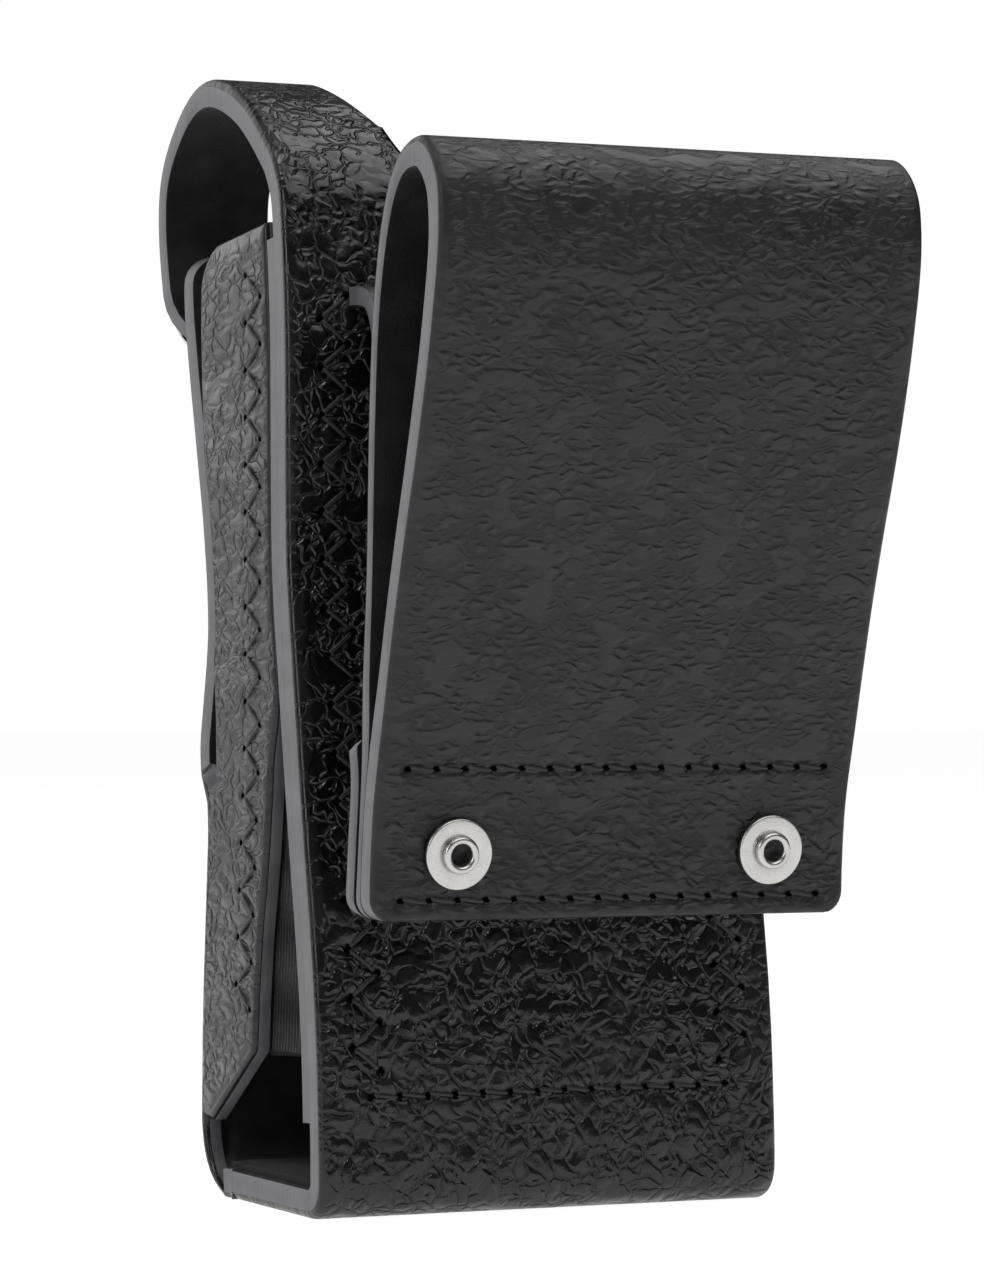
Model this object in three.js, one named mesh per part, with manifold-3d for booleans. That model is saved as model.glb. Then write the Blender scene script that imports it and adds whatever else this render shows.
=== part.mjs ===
// Leather carry case for a hand-held radio: an open-topped pouch with a snap-down retaining strap,
// and a belt loop that hangs on a leather tab behind it.
//
// Millimetres, +Z up. X runs across the case, the belt loop is on the -Y side and the pocket's
// front on the +Y side. The origin is in the middle of the flat bottom.

import * as THREE from 'three';
import { mergeVertices } from 'three/addons/utils/BufferGeometryUtils.js';
import Module from 'manifold-3d';

// ---------------------------------------------------------------- driving dimensions

const CASE_WIDTH = 69;
const HALF_WIDTH = CASE_WIDTH / 2;
const GAP = 0.3;                     // clearance between pieces that lie on each other

const BACK_THICKNESS = 4.0;          // outer leather of the back, bottom and strap
const LINER_THICKNESS = 2.7;
const FRONT_THICKNESS = 4.3;
const WING_THICKNESS = 2.6;
const ELASTIC_THICKNESS = 1.2;
const BOTTOM_LINER_THICKNESS = 1.8;

const STRAP_WIDTH = 16;
const STRAP_ROOT_WIDTH = 19;         // where the strap leaves the back panel
const TIP_FOLD_HEIGHT = 145;         // the strap's tip bends outwards here to be unsnapped
const STRAP_LEFT = -HALF_WIDTH;
const STRAP_RIGHT = STRAP_LEFT + STRAP_WIDTH;
const SHOULDER_HEIGHT = 134;         // top edge of the back panel beside the strap

const SLIT_BOTTOM = 55.5;            // the front is joined to the side walls below this height
const FLAP_HALF_WIDTH = 33.8;
const CORNER_RADIUS = 5;             // upright corners of the pouch

const LOOP_HALF_WIDTH = 35;
const LOOP_BOTTOM = 41;
const TAB_THICKNESS = 2.7;
const TAB_HALF_WIDTH = 25.2;
const TAB_FLARE = { top: 70, bottom: 63 };
const SLOT = { halfWidth: 25.8, bottom: 122.0, top: 125.3 };
const ANCHOR = { bottom: 104, thickness: 1.3 };

const RIVET_X = 23.1;
const RIVET_Z = 50.5;
const RIVET_TILT = THREE.MathUtils.degToRad(7.5);
const RIVET_HOLE_RADIUS = 2.2;
const RIVET_MIDDLE_Y = -38.2;
const WASHER = { outer: 4.75, inner: 2.15, thickness: 0.8, frontSeat: 4.9, rearSeat: -5.2 };
const RIVET = { shank: 1.95, bore: 1.45, rim: 2.55, front: 6.75, rear: -6.25 };
const LOOP_SEAMS = { loop_stitch_upper: 61, loop_stitch_lower: 43.6 };

const THREAD_WIDTH = 0.9;
const THREAD_HEIGHT = 0.5;
const THREAD_LIFT = 0.15;            // the rows lie just clear of the leather
const ZIGZAG_PITCH = 6.5;

// Side profiles, as [y, z] points of the outer leather face, each joined by a smooth curve.
const BACK_OUTER = [[-24, 8.3], [-23.2, 22], [-21.6, 35], [-18.2, 53], [-14.6, 74], [-12.4, 88],
  [-11.9, 104], [-11.6, 120], [-10.6, 132], [-9.2, 140.5], [-6.4, 145.3], [-3.6, 147.9],
  [-1.2, 149.9]];
const STRAP_OUTER = [[-0.85, 150.2], [1.6, 152.25], [5.8, 154.8], [11.2, 157.0], [17.5, 158.8],
  [23.5, 158.7], [28.6, 156.6], [33.2, 153.2], [36.8, 149.9], [38.9, 147.2], [39.7, 144.4],
  [39.8, 141]];
const STRAP_TIP_OUTER = [[38.9, 147.2], [39.7, 144.4], [39.8, 141], [39.6, 137.2], [38.7, 132.6], [37.4, 128.2],
  [36.2, 124], [35.2, 120.8], [34.6, 118.3]];
const FRONT_OUTER = [[24.8, 10.4], [24.5, 25], [23.2, 42], [22.5, 54], [24.0, 62.5], [22.4, 71],
  [20.9, 80], [22.4, 93], [25.3, 105], [29.1, 120], [30.6, 128], [30.3, 134.2]];
const LOOP_OUTER = [[-42.3, 41], [-42.6, 48], [-43.6, 56], [-46.3, 66], [-51.7, 84.6], [-59.1, 106],
  [-62.7, 119], [-64.6, 130], [-63.4, 137.6], [-58.2, 142.2], [-51.6, 141.3], [-47.4, 137.5],
  [-44.3, 131], [-42, 121], [-40.7, 108], [-39.7, 85], [-38.5, 72], [-38.2, 62], [-37.1, 52],
  [-35.9, 41]];
const LOOP_INNER = [[-38.5, 41], [-38.9, 48], [-39.9, 56], [-41.9, 64.5], [-44.3, 72], [-48.1, 85],
  [-55.3, 106.5], [-58.9, 119], [-60.8, 129.6], [-59.9, 135.2], [-56.9, 138.3], [-52.4, 137.9],
  [-49.6, 135.2], [-46.9, 129.6], [-44.6, 120.6], [-43.3, 108], [-42.2, 85], [-41.3, 72],
  [-41.3, 64.5], [-39.6, 56], [-38.6, 48], [-38.2, 41]];
const TAB_MIDDLE = [[-14.7, 123.65], [-17.4, 123.0], [-19.4, 120.4], [-20.7, 116], [-24.2, 103],
  [-31.0, 80], [-34.6, 67.5], [-36.3, 60], [-35.5, 52], [-34.3, 41]];

const SNAP_X = STRAP_LEFT + STRAP_WIDTH / 2;
const SNAP = { tipY: 36.75, tipZ: 126, tipTilt: 0.288, studY: 30.35, studZ: 127.4, studTilt: 0.17 };

const COLOUR = {
  leather: { color: 0x17171a, roughness: 0.42, metalness: 0 },
  lining: { color: 0x101012, roughness: 0.9, metalness: 0 },
  elastic: { color: 0x0c0c0d, roughness: 0.85, metalness: 0 },
  thread: { color: 0x0b0b0c, roughness: 0.6, metalness: 0 },
  nickel: { color: 0xc9c8c4, roughness: 0.28, metalness: 1 },
};

// ---------------------------------------------------------------- geometry helpers

const wasm = await Module();
wasm.setup();

function toSolid(geometry) {
  const bare = geometry.clone();
  bare.deleteAttribute('normal');
  bare.deleteAttribute('uv');
  const merged = mergeVertices(bare);
  return new wasm.Manifold(new wasm.Mesh({
    numProp: 3,
    vertProperties: new Float32Array(merged.attributes.position.array),
    triVerts: new Uint32Array(merged.index.array),
  }));
}

function toGeometry(solid) {
  const mesh = solid.getMesh();
  const geometry = new THREE.BufferGeometry();
  geometry.setAttribute('position', new THREE.BufferAttribute(mesh.vertProperties, 3));
  geometry.setIndex(new THREE.BufferAttribute(mesh.triVerts, 1));
  return geometry;
}

// Axis orders: which model axes the drawing's across, up and extrusion directions become.
const ACROSS_X = new THREE.Matrix4().makeBasis(
  new THREE.Vector3(0, 1, 0), new THREE.Vector3(0, 0, 1), new THREE.Vector3(1, 0, 0));
const ACROSS_Y = new THREE.Matrix4().makeBasis(
  new THREE.Vector3(1, 0, 0), new THREE.Vector3(0, 0, 1), new THREE.Vector3(0, -1, 0));

function shapeOf(points) {
  return new THREE.Shape(points.map(([across, up]) => new THREE.Vector2(across, up)));
}

function extrude(shape, depth) {
  return new THREE.ExtrudeGeometry(shape, { depth, bevelEnabled: false, steps: 1, curveSegments: 8 });
}

// A [y, z] outline carried across the case from x = from to x = to.
function sideSolid(shape, from, to) {
  const geometry = extrude(shape, to - from).applyMatrix4(ACROSS_X);
  return toSolid(geometry.translate(from, 0, 0));
}

// An [x, z] outline carried through the case from y = from to y = to.
function frontSolid(shape, from, to) {
  const geometry = extrude(shape, to - from).applyMatrix4(ACROSS_Y);
  return toSolid(geometry.translate(0, to, 0));
}

// An [x, y] outline carried upwards from z = from to z = to.
function topSolid(shape, from, to) {
  return toSolid(extrude(shape, to - from).translate(0, 0, from));
}

function block(x0, x1, y0, y1, z0, z1) {
  const geometry = new THREE.BoxGeometry(x1 - x0, y1 - y0, z1 - z0);
  return toSolid(geometry.translate((x0 + x1) / 2, (y0 + y1) / 2, (z0 + z1) / 2));
}

// Points of a smooth curve through the given points, moved sideways by distance: to the right of
// the direction of travel where it is positive.
function offsetCurve(points, distance, divisions = points.length * 2) {
  const curve = new THREE.CatmullRomCurve3(points.map(([y, z]) => new THREE.Vector3(y, z, 0)));
  const moved = [];
  for (let i = 0; i <= divisions; i += 1) {
    const point = curve.getPoint(i / divisions);
    const along = curve.getTangent(i / divisions);
    moved.push([point.x + along.y * distance, point.y - along.x * distance]);
  }
  return moved;
}

// A strip of leather whose faces are the curve moved sideways by near and by far.
function ribbon(points, near, far, divisions) {
  const outline = offsetCurve(points, near, divisions);
  return shapeOf(outline.concat(offsetCurve(points, far, divisions).reverse()));
}

function roundedBox(x0, x1, y0, y1, radius) {
  const shape = new THREE.Shape();
  shape.moveTo(x0 + radius, y0);
  shape.absarc(x1 - radius, y0 + radius, radius, -Math.PI / 2, 0);
  shape.absarc(x1 - radius, y1 - radius, radius, 0, Math.PI / 2);
  shape.absarc(x0 + radius, y1 - radius, radius, Math.PI / 2, Math.PI);
  shape.absarc(x0 + radius, y0 + radius, radius, Math.PI, 1.5 * Math.PI);
  return shape;
}

// A turned piece: [radius, height] points, its axis pointing along +Y and leaning down by tilt.
function turned(points, x, y, z, tilt, direction = 1, segments = 24) {
  const profile = points.map(([radius, height]) => new THREE.Vector2(radius, height));
  const geometry = new THREE.LatheGeometry(profile, segments);
  if (direction < 0) {
    geometry.rotateX(Math.PI);
  }
  return geometry.rotateX(-tilt * direction).translate(x, y, z);
}

// ---------------------------------------------------------------- the assembly

const carryCase = new THREE.Group();

function addPiece(name, geometry, finish, parent = carryCase) {
  const mesh = new THREE.Mesh(geometry, new THREE.MeshStandardMaterial(finish));
  mesh.name = name;
  parent.add(mesh);
}

function addSolid(name, solid, finish, parent) {
  addPiece(name, toGeometry(solid), finish, parent);
}

// ---------------------------------------------------------------- pouch: back, bottom, front, sides

// Outline of the back panel seen from behind: full width up to the shoulder, then a hollow curve
// in to the root of the strap.
function backOutline() {
  const rootRight = STRAP_LEFT + STRAP_ROOT_WIDTH;
  const outline = new THREE.Shape();
  outline.moveTo(-HALF_WIDTH, 0);
  outline.lineTo(HALF_WIDTH, 0);
  outline.lineTo(HALF_WIDTH, SHOULDER_HEIGHT - 3);
  outline.quadraticCurveTo(HALF_WIDTH, SHOULDER_HEIGHT, HALF_WIDTH - 3, SHOULDER_HEIGHT);
  outline.lineTo(6, SHOULDER_HEIGHT);
  outline.bezierCurveTo(-6, SHOULDER_HEIGHT + 1, rootRight + 1, 140, rootRight, 151);
  outline.lineTo(-HALF_WIDTH, 151);
  return outline;
}

const backOutlineSolid = frontSolid(backOutline(), -40, 10);
const tabSlot = block(-SLOT.halfWidth, SLOT.halfWidth, -20, -2, SLOT.bottom, SLOT.top);
const backPanel = sideSolid(ribbon(BACK_OUTER, 0, BACK_THICKNESS), -HALF_WIDTH, HALF_WIDTH)
  .intersect(backOutlineSolid)
  .subtract(tabSlot);
addSolid('back_panel', backPanel, COLOUR.leather);

// The tab's sewn end lies in a recess in the liner, and its neck comes out through the slot.
const anchorFace = BACK_THICKNESS + GAP;
const linerShape = ribbon(BACK_OUTER, anchorFace, anchorFace + LINER_THICKNESS);
const anchorRecess = sideSolid(
  ribbon(BACK_OUTER, anchorFace - 1, anchorFace + ANCHOR.thickness + GAP),
  -SLOT.halfWidth, SLOT.halfWidth,
).intersect(block(-40, 40, -40, 10, ANCHOR.bottom - GAP, SLOT.top));
const backLiner = sideSolid(linerShape, -HALF_WIDTH, HALF_WIDTH)
  .intersect(block(-40, 40, -40, 10, 13, SHOULDER_HEIGHT))
  .subtract(anchorRecess);
addSolid('back_liner', backLiner, COLOUR.lining);

const anchorPlate = sideSolid(
  ribbon(BACK_OUTER, anchorFace, anchorFace + ANCHOR.thickness),
  -TAB_HALF_WIDTH, TAB_HALF_WIDTH,
).intersect(block(-40, 40, -40, 10, ANCHOR.bottom, SLOT.top - GAP));
const anchorNeck = block(
  -TAB_HALF_WIDTH, TAB_HALF_WIDTH, -13.9, -6.8, SLOT.bottom + GAP, SLOT.top - GAP);
addSolid('hanger_anchor', anchorPlate.add(anchorNeck), COLOUR.leather);

// The bottom is a strip that turns up at the back and, more gently, at the front.
function bottomShape() {
  const back = -24;
  const bend = 5;
  const inner = bend - BACK_THICKNESS;
  const shape = new THREE.Shape();
  shape.moveTo(back, 8);
  shape.lineTo(back, bend);
  shape.absarc(back + bend, bend, bend, Math.PI, 1.5 * Math.PI);
  shape.lineTo(14, 0);
  shape.quadraticCurveTo(24, 1.5, 24.8, 10.1);
  shape.lineTo(24.8 - BACK_THICKNESS, 10.1);
  shape.quadraticCurveTo(20.2, 5.4, 13.5, BACK_THICKNESS);
  shape.lineTo(back + bend, BACK_THICKNESS);
  shape.absarc(back + bend, bend, inner, 1.5 * Math.PI, Math.PI, true);
  shape.lineTo(back + BACK_THICKNESS, 8);
  return shape;
}

const pouchPlan = roundedBox(-HALF_WIDTH, HALF_WIDTH, -60, 24.9, CORNER_RADIUS);
const pouchColumn = topSolid(pouchPlan, -1, SLIT_BOTTOM);
addSolid('bottom_strip', sideSolid(bottomShape(), -HALF_WIDTH, HALF_WIDTH).intersect(pouchColumn),
  COLOUR.leather);

const bottomLinerFloor = BACK_THICKNESS + GAP;
addSolid('bottom_liner', block(-HALF_WIDTH + 1.5, HALF_WIDTH - 1.5, -16.2, 12.5,
  bottomLinerFloor, bottomLinerFloor + BOTTOM_LINER_THICKNESS), COLOUR.lining);

// The front is joined to the side walls low down; above the slits it is a flap that leans out.
const frontRibbon = ribbon(FRONT_OUTER, 0, -FRONT_THICKNESS);
const frontLow = sideSolid(frontRibbon, -HALF_WIDTH, HALF_WIDTH).intersect(pouchColumn);
const frontFlap = sideSolid(frontRibbon, -FLAP_HALF_WIDTH, FLAP_HALF_WIDTH)
  .intersect(frontSolid(roundedBox(-FLAP_HALF_WIDTH, FLAP_HALF_WIDTH, 40, 134.6, 4), 0, 40));
const studHole = toSolid(turned([[0, -9], [1.5, -9], [1.5, 3], [0, 3]],
  SNAP_X, SNAP.studY, SNAP.studZ, SNAP.studTilt));
addSolid('front_panel', frontLow.add(frontFlap).subtract(studHole), COLOUR.leather);

function wingShape() {
  const shape = new THREE.Shape();
  shape.moveTo(0.9, 21.4);
  shape.lineTo(19.2, 9.4);
  shape.lineTo(19.4, 25);
  shape.lineTo(18.0, 42);
  shape.lineTo(17.3, SLIT_BOTTOM - 1);
  shape.quadraticCurveTo(16.2, SLIT_BOTTOM, 15.8, 60);
  shape.lineTo(16.0, 68);
  shape.lineTo(17.6, 82);
  shape.quadraticCurveTo(19.8, 97, 21.6, 115);
  shape.lineTo(22.0, 129.4);
  shape.quadraticCurveTo(22, 134.4, 16.5, 134.8);
  shape.lineTo(-2.2, 136.2);
  shape.lineTo(-2.6, 130);
  shape.lineTo(-3.9, 112);
  shape.lineTo(-3.9, 88);
  shape.quadraticCurveTo(-5.4, 76, -5.2, 66);
  shape.quadraticCurveTo(-4.6, 52, -1.4, 40);
  shape.quadraticCurveTo(0.4, 31, 0.9, 21.4);
  return shape;
}

// Woven elastic sewn to the inside of each side wall and to the liner.
function elasticShape() {
  const behind = offsetCurve(BACK_OUTER, anchorFace + LINER_THICKNESS + GAP, 48)
    .filter(([, z]) => z > 20 && z < 130);
  return shapeOf([[9, 20.2], ...[[6.5, 45], [3.5, 70], [4.5, 130]], ...behind.reverse()]);
}

// A zigzag band of thread width between two heights, about a slanting middle line.
function zigzagShape(middle, amplitude, bottom, top) {
  const turns = Math.round((top - bottom) / (ZIGZAG_PITCH / 2));
  const left = [];
  const right = [];
  for (let i = 0; i <= turns; i += 1) {
    const up = bottom + (i * ZIGZAG_PITCH) / 2;
    const across = middle(up) + (i % 2 === 0 ? -amplitude : amplitude);
    left.push([across - THREAD_WIDTH * 0.7, up]);
    right.push([across + THREAD_WIDTH * 0.7, up]);
  }
  return shapeOf(right.concat(left.reverse()));
}

const frontClearance = sideSolid(
  ribbon(FRONT_OUTER, 1, -FRONT_THICKNESS - GAP), -HALF_WIDTH - 1, HALF_WIDTH + 1);

function wingRowMiddle(up) {
  const knee = 66;
  return up > knee ? -0.2 : -0.2 + ((knee - up) / knee) * 6.2;
}

for (const [side, name] of [[-1, 'left'], [1, 'right']]) {
  const faces = [HALF_WIDTH, HALF_WIDTH - WING_THICKNESS];
  const wall = faces.map((x) => x * side).sort((a, b) => a - b);
  addSolid(`${name}_wing`, sideSolid(wingShape(), wall[0], wall[1]).subtract(frontClearance),
    COLOUR.leather);

  const webFace = HALF_WIDTH - WING_THICKNESS - GAP;
  const web = [webFace, webFace - ELASTIC_THICKNESS].map((x) => x * side).sort((a, b) => a - b);
  addSolid(`${name}_elastic`, sideSolid(elasticShape(), web[0], web[1]), COLOUR.elastic);

  const rowFace = HALF_WIDTH + THREAD_LIFT;
  const row = [rowFace, rowFace + THREAD_HEIGHT].map((x) => x * side).sort((a, b) => a - b);
  addSolid(`${name}_wing_zigzag`, sideSolid(zigzagShape(wingRowMiddle, 2.3, 27, 128), row[0], row[1]),
    COLOUR.thread);
}

// ---------------------------------------------------------------- seams on the back panel

const backThreadSkin = sideSolid(
  ribbon(BACK_OUTER, -THREAD_LIFT - THREAD_HEIGHT, -THREAD_LIFT), -HALF_WIDTH, HALF_WIDTH);
for (const [side, name] of [[-1, 'left'], [1, 'right']]) {
  const band = zigzagShape(() => side * (HALF_WIDTH - 6.9), 1.8, 20, 124);
  addSolid(`${name}_back_zigzag`, backThreadSkin.intersect(frontSolid(band, -40, 10)), COLOUR.thread);
}
const linerSeam = block(-27, 27, -40, 10, 16.6, 16.6 + THREAD_WIDTH);
addSolid('liner_bottom_stitch', backThreadSkin.intersect(linerSeam), COLOUR.thread);

// ---------------------------------------------------------------- retaining strap and its tip

const strapGroup = new THREE.Group();
carryCase.add(strapGroup);

// Seen from above, the strap narrows from its root to its running width.
function strapPlan() {
  const plan = new THREE.Shape();
  plan.moveTo(STRAP_LEFT, -10);
  plan.lineTo(STRAP_LEFT + STRAP_ROOT_WIDTH, -10);
  plan.lineTo(STRAP_LEFT + STRAP_ROOT_WIDTH, -1);
  plan.quadraticCurveTo(STRAP_RIGHT + 0.6, 4, STRAP_RIGHT, 16);
  plan.lineTo(STRAP_RIGHT, 50);
  plan.lineTo(STRAP_LEFT, 50);
  return plan;
}

const strap = sideSolid(ribbon(STRAP_OUTER, 0, BACK_THICKNESS), -HALF_WIDTH, 0)
  .intersect(topSolid(strapPlan(), 100, 170))
  .subtract(block(-40, 0, 30, 50, 100, TIP_FOLD_HEIGHT + GAP / 2));
addSolid('retaining_strap', strap, COLOUR.leather, strapGroup);

// The tip hangs over the front flap and ends in a half round.
const tipOutline = roundedBox(STRAP_LEFT, STRAP_RIGHT, 118.4, 170, STRAP_WIDTH / 2 - 0.05);
const snapSocketHole = toSolid(turned([[0, -6], [4.6, -6], [4.6, -2.4], [1.8, -2.4], [1.8, 3], [0, 3]],
  SNAP_X, SNAP.tipY, SNAP.tipZ, SNAP.tipTilt));
const strapTip = sideSolid(ribbon(STRAP_TIP_OUTER, 0, BACK_THICKNESS), STRAP_LEFT, STRAP_RIGHT)
  .intersect(frontSolid(tipOutline, 0, 60))
  .intersect(block(-40, 0, 0, 60, 100, TIP_FOLD_HEIGHT - GAP / 2))
  .subtract(snapSocketHole);
addSolid('strap_tip', strapTip, COLOUR.leather, strapGroup);

addPiece('snap_cap', turned([[0, -1.9], [1.5, -1.9], [1.5, 0.3], [6, 0.3], [6, 0.8], [5.2, 1.5],
  [3.2, 2.0], [0, 2.2]], SNAP_X, SNAP.tipY, SNAP.tipZ, SNAP.tipTilt), COLOUR.nickel, strapGroup);
addPiece('snap_socket', turned([[3.3, -4.9], [4.3, -4.9], [4.3, -2.8], [0, -2.8], [0, -3.6],
  [3.3, -3.6], [3.3, -4.9]], SNAP_X, SNAP.tipY, SNAP.tipZ, SNAP.tipTilt), COLOUR.nickel, strapGroup);
addPiece('snap_stud', turned([[0, -4.6], [1.2, -4.6], [1.2, 0.3], [4, 0.3], [4, 0.9], [1.6, 0.9],
  [1.9, 1.7], [1.4, 2.0], [0, 2.0]], SNAP_X, SNAP.studY, SNAP.studZ, SNAP.studTilt), COLOUR.nickel);
addPiece('snap_stud_washer', turned([[0, -5.8], [4, -5.8], [4, -5.0], [0, -5.0]],
  SNAP_X, SNAP.studY, SNAP.studZ, SNAP.studTilt), COLOUR.nickel);

// ---------------------------------------------------------------- belt loop on its hanger tab

const loopGroup = new THREE.Group();
carryCase.add(loopGroup);

// A turned piece on a rivet's axis, its heights counted outwards from the middle of the layers.
function onRivet(points, x) {
  return turned(points, x, RIVET_MIDDLE_Y, RIVET_Z, RIVET_TILT, -1);
}

const rivetHoles = [-RIVET_X, RIVET_X].map((x) => toSolid(
  onRivet([[0, -15], [RIVET_HOLE_RADIUS, -15], [RIVET_HOLE_RADIUS, 15], [0, 15]], x)));

const loopOutline = frontSolid(
  roundedBox(-LOOP_HALF_WIDTH, LOOP_HALF_WIDTH, LOOP_BOTTOM, 160, 3), -80, 0);
const loopShape = shapeOf(offsetCurve(LOOP_OUTER, 0, 44).concat(offsetCurve(LOOP_INNER, 0, 48).reverse()));
const beltLoop = sideSolid(loopShape, -LOOP_HALF_WIDTH, LOOP_HALF_WIDTH)
  .intersect(loopOutline)
  .subtract(rivetHoles[0])
  .subtract(rivetHoles[1]);
addSolid('belt_loop', beltLoop, COLOUR.leather, loopGroup);

// The tab is narrow where it leaves the case and as wide as the loop where it is riveted to it.
function tabOutline() {
  const outline = new THREE.Shape();
  outline.moveTo(-LOOP_HALF_WIDTH + 3, LOOP_BOTTOM);
  outline.lineTo(LOOP_HALF_WIDTH - 3, LOOP_BOTTOM);
  outline.quadraticCurveTo(LOOP_HALF_WIDTH, LOOP_BOTTOM, LOOP_HALF_WIDTH, LOOP_BOTTOM + 3);
  outline.lineTo(LOOP_HALF_WIDTH, TAB_FLARE.bottom);
  outline.quadraticCurveTo(TAB_HALF_WIDTH, TAB_FLARE.bottom + 1, TAB_HALF_WIDTH, TAB_FLARE.top);
  outline.lineTo(TAB_HALF_WIDTH, 130);
  outline.lineTo(-TAB_HALF_WIDTH, 130);
  outline.lineTo(-TAB_HALF_WIDTH, TAB_FLARE.top);
  outline.quadraticCurveTo(-TAB_HALF_WIDTH, TAB_FLARE.bottom + 1, -LOOP_HALF_WIDTH, TAB_FLARE.bottom);
  outline.lineTo(-LOOP_HALF_WIDTH, LOOP_BOTTOM + 3);
  outline.quadraticCurveTo(-LOOP_HALF_WIDTH, LOOP_BOTTOM, -LOOP_HALF_WIDTH + 3, LOOP_BOTTOM);
  return outline;
}

const hangerTab = sideSolid(ribbon(TAB_MIDDLE, -TAB_THICKNESS / 2, TAB_THICKNESS / 2, 28),
  -LOOP_HALF_WIDTH, LOOP_HALF_WIDTH)
  .intersect(frontSolid(tabOutline(), -80, 0))
  .subtract(rivetHoles[0])
  .subtract(rivetHoles[1]);
addSolid('hanger_tab', hangerTab, COLOUR.leather, loopGroup);

// Tubular rivets rolled over a washer on each face.
function washerProfile(seat) {
  const top = seat + WASHER.thickness;
  return [[WASHER.inner, seat], [WASHER.outer, seat], [WASHER.outer, top], [WASHER.inner, top],
    [WASHER.inner, seat]];
}

function rivetProfile() {
  const { shank, bore, rim, front, rear } = RIVET;
  return [[bore, rear + 0.5], [1.8, rear], [2.35, rear + 0.05], [rim, rear + 0.4],
    [2.35, rear + 0.85], [shank, rear + 0.9], [shank, front - 0.9], [2.35, front - 0.85],
    [rim, front - 0.4], [2.35, front - 0.05], [1.8, front], [bore, front - 0.5],
    [bore, rear + 0.5]];
}

for (const [side, name] of [[-1, 'left'], [1, 'right']]) {
  const x = side * RIVET_X;
  addPiece(`${name}_rivet`, onRivet(rivetProfile(), x), COLOUR.nickel, loopGroup);
  addPiece(`${name}_front_washer`, onRivet(washerProfile(WASHER.frontSeat), x), COLOUR.nickel,
    loopGroup);
  addPiece(`${name}_rear_washer`, onRivet(washerProfile(WASHER.rearSeat), x), COLOUR.nickel,
    loopGroup);
}

const loopThreadSkin = sideSolid(
  ribbon(LOOP_OUTER.slice(0, 5), -THREAD_LIFT - THREAD_HEIGHT, -THREAD_LIFT),
  -LOOP_HALF_WIDTH + 2, LOOP_HALF_WIDTH - 2);
for (const [name, height] of Object.entries(LOOP_SEAMS)) {
  const band = block(-40, 40, -60, -30, height, height + THREAD_WIDTH);
  addSolid(name, loopThreadSkin.intersect(band), COLOUR.thread, loopGroup);
}

export default carryCase;
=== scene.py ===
# Black pebbled-leather carry case with a retaining strap and a riveted belt loop.
# Blender 4.5, metres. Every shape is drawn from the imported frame's own sections, so a panel
# follows the CAD solid that it stands for. Lengths marked MM are millimetres times 0.001.

import math

import bmesh
import bpy
import numpy as np
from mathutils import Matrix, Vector
from mathutils.kdtree import KDTree


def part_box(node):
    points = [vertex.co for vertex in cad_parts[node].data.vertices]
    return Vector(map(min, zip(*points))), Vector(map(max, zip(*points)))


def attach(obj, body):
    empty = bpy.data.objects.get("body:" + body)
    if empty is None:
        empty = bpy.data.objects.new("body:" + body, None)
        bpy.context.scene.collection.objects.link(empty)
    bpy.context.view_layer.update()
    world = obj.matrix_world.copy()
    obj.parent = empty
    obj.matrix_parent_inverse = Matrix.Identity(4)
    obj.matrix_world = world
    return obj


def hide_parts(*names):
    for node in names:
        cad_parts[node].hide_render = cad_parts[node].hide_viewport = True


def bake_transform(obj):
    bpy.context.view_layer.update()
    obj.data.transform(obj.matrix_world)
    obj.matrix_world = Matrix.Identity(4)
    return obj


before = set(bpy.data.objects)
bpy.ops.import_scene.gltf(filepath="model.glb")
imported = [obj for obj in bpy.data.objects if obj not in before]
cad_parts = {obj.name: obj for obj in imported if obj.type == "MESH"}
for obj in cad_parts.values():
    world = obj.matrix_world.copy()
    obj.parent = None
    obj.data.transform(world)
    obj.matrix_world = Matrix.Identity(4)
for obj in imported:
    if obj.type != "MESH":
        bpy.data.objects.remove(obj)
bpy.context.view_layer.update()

MM = 0.001

# ---- reading the frame

HALF_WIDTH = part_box("back_panel")[1][0]
LOOP_HALF_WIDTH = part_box("belt_loop")[1][0]
STRAP_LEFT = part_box("strap_tip")[0][0]
STRAP_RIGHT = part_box("strap_tip")[1][0]
STRAP_MIDDLE = (STRAP_LEFT + STRAP_RIGHT) / 2
ROOT_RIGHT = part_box("retaining_strap")[1][0]
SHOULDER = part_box("back_liner")[1][2]
FLAP_HALF_WIDTH = 33.8 * MM
SLIT_BOTTOM = 55.5 * MM
CORNER_RADIUS = 5 * MM
STEP = 0.9 * MM                      # spacing of the panels' mesh


def coordinates(mesh):
    points = np.empty(len(mesh.vertices) * 3)
    mesh.vertices.foreach_get("co", points)
    return points.reshape(-1, 3)


def section(node, x):
    """The node's outline where the plane at x cuts it, as an ordered array of (y, z)."""
    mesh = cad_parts[node].data
    mesh.calc_loop_triangles()
    points = coordinates(mesh)
    links = {}
    for triangle in mesh.loop_triangles:
        crossing = []
        corners = [points[i] for i in triangle.vertices]
        for a, b in zip(corners, corners[1:] + corners[:1]):
            if (a[0] - x) * (b[0] - x) < 0:
                y, z = (a + (b - a) * (x - a[0]) / (b[0] - a[0]))[1:]
                crossing.append((round(y, 6), round(z, 6)))
        if len(crossing) == 2 and crossing[0] != crossing[1]:
            links.setdefault(crossing[0], []).append(crossing[1])
            links.setdefault(crossing[1], []).append(crossing[0])
    loops = []
    unused = set(links)
    while unused:
        here = unused.pop()
        loop = [here]
        while onward := [p for p in links[here] if p in unused]:
            here = onward[0]
            unused.discard(here)
            loop.append(here)
        loops.append(loop)
    return np.array(max(loops, key=len))


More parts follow.
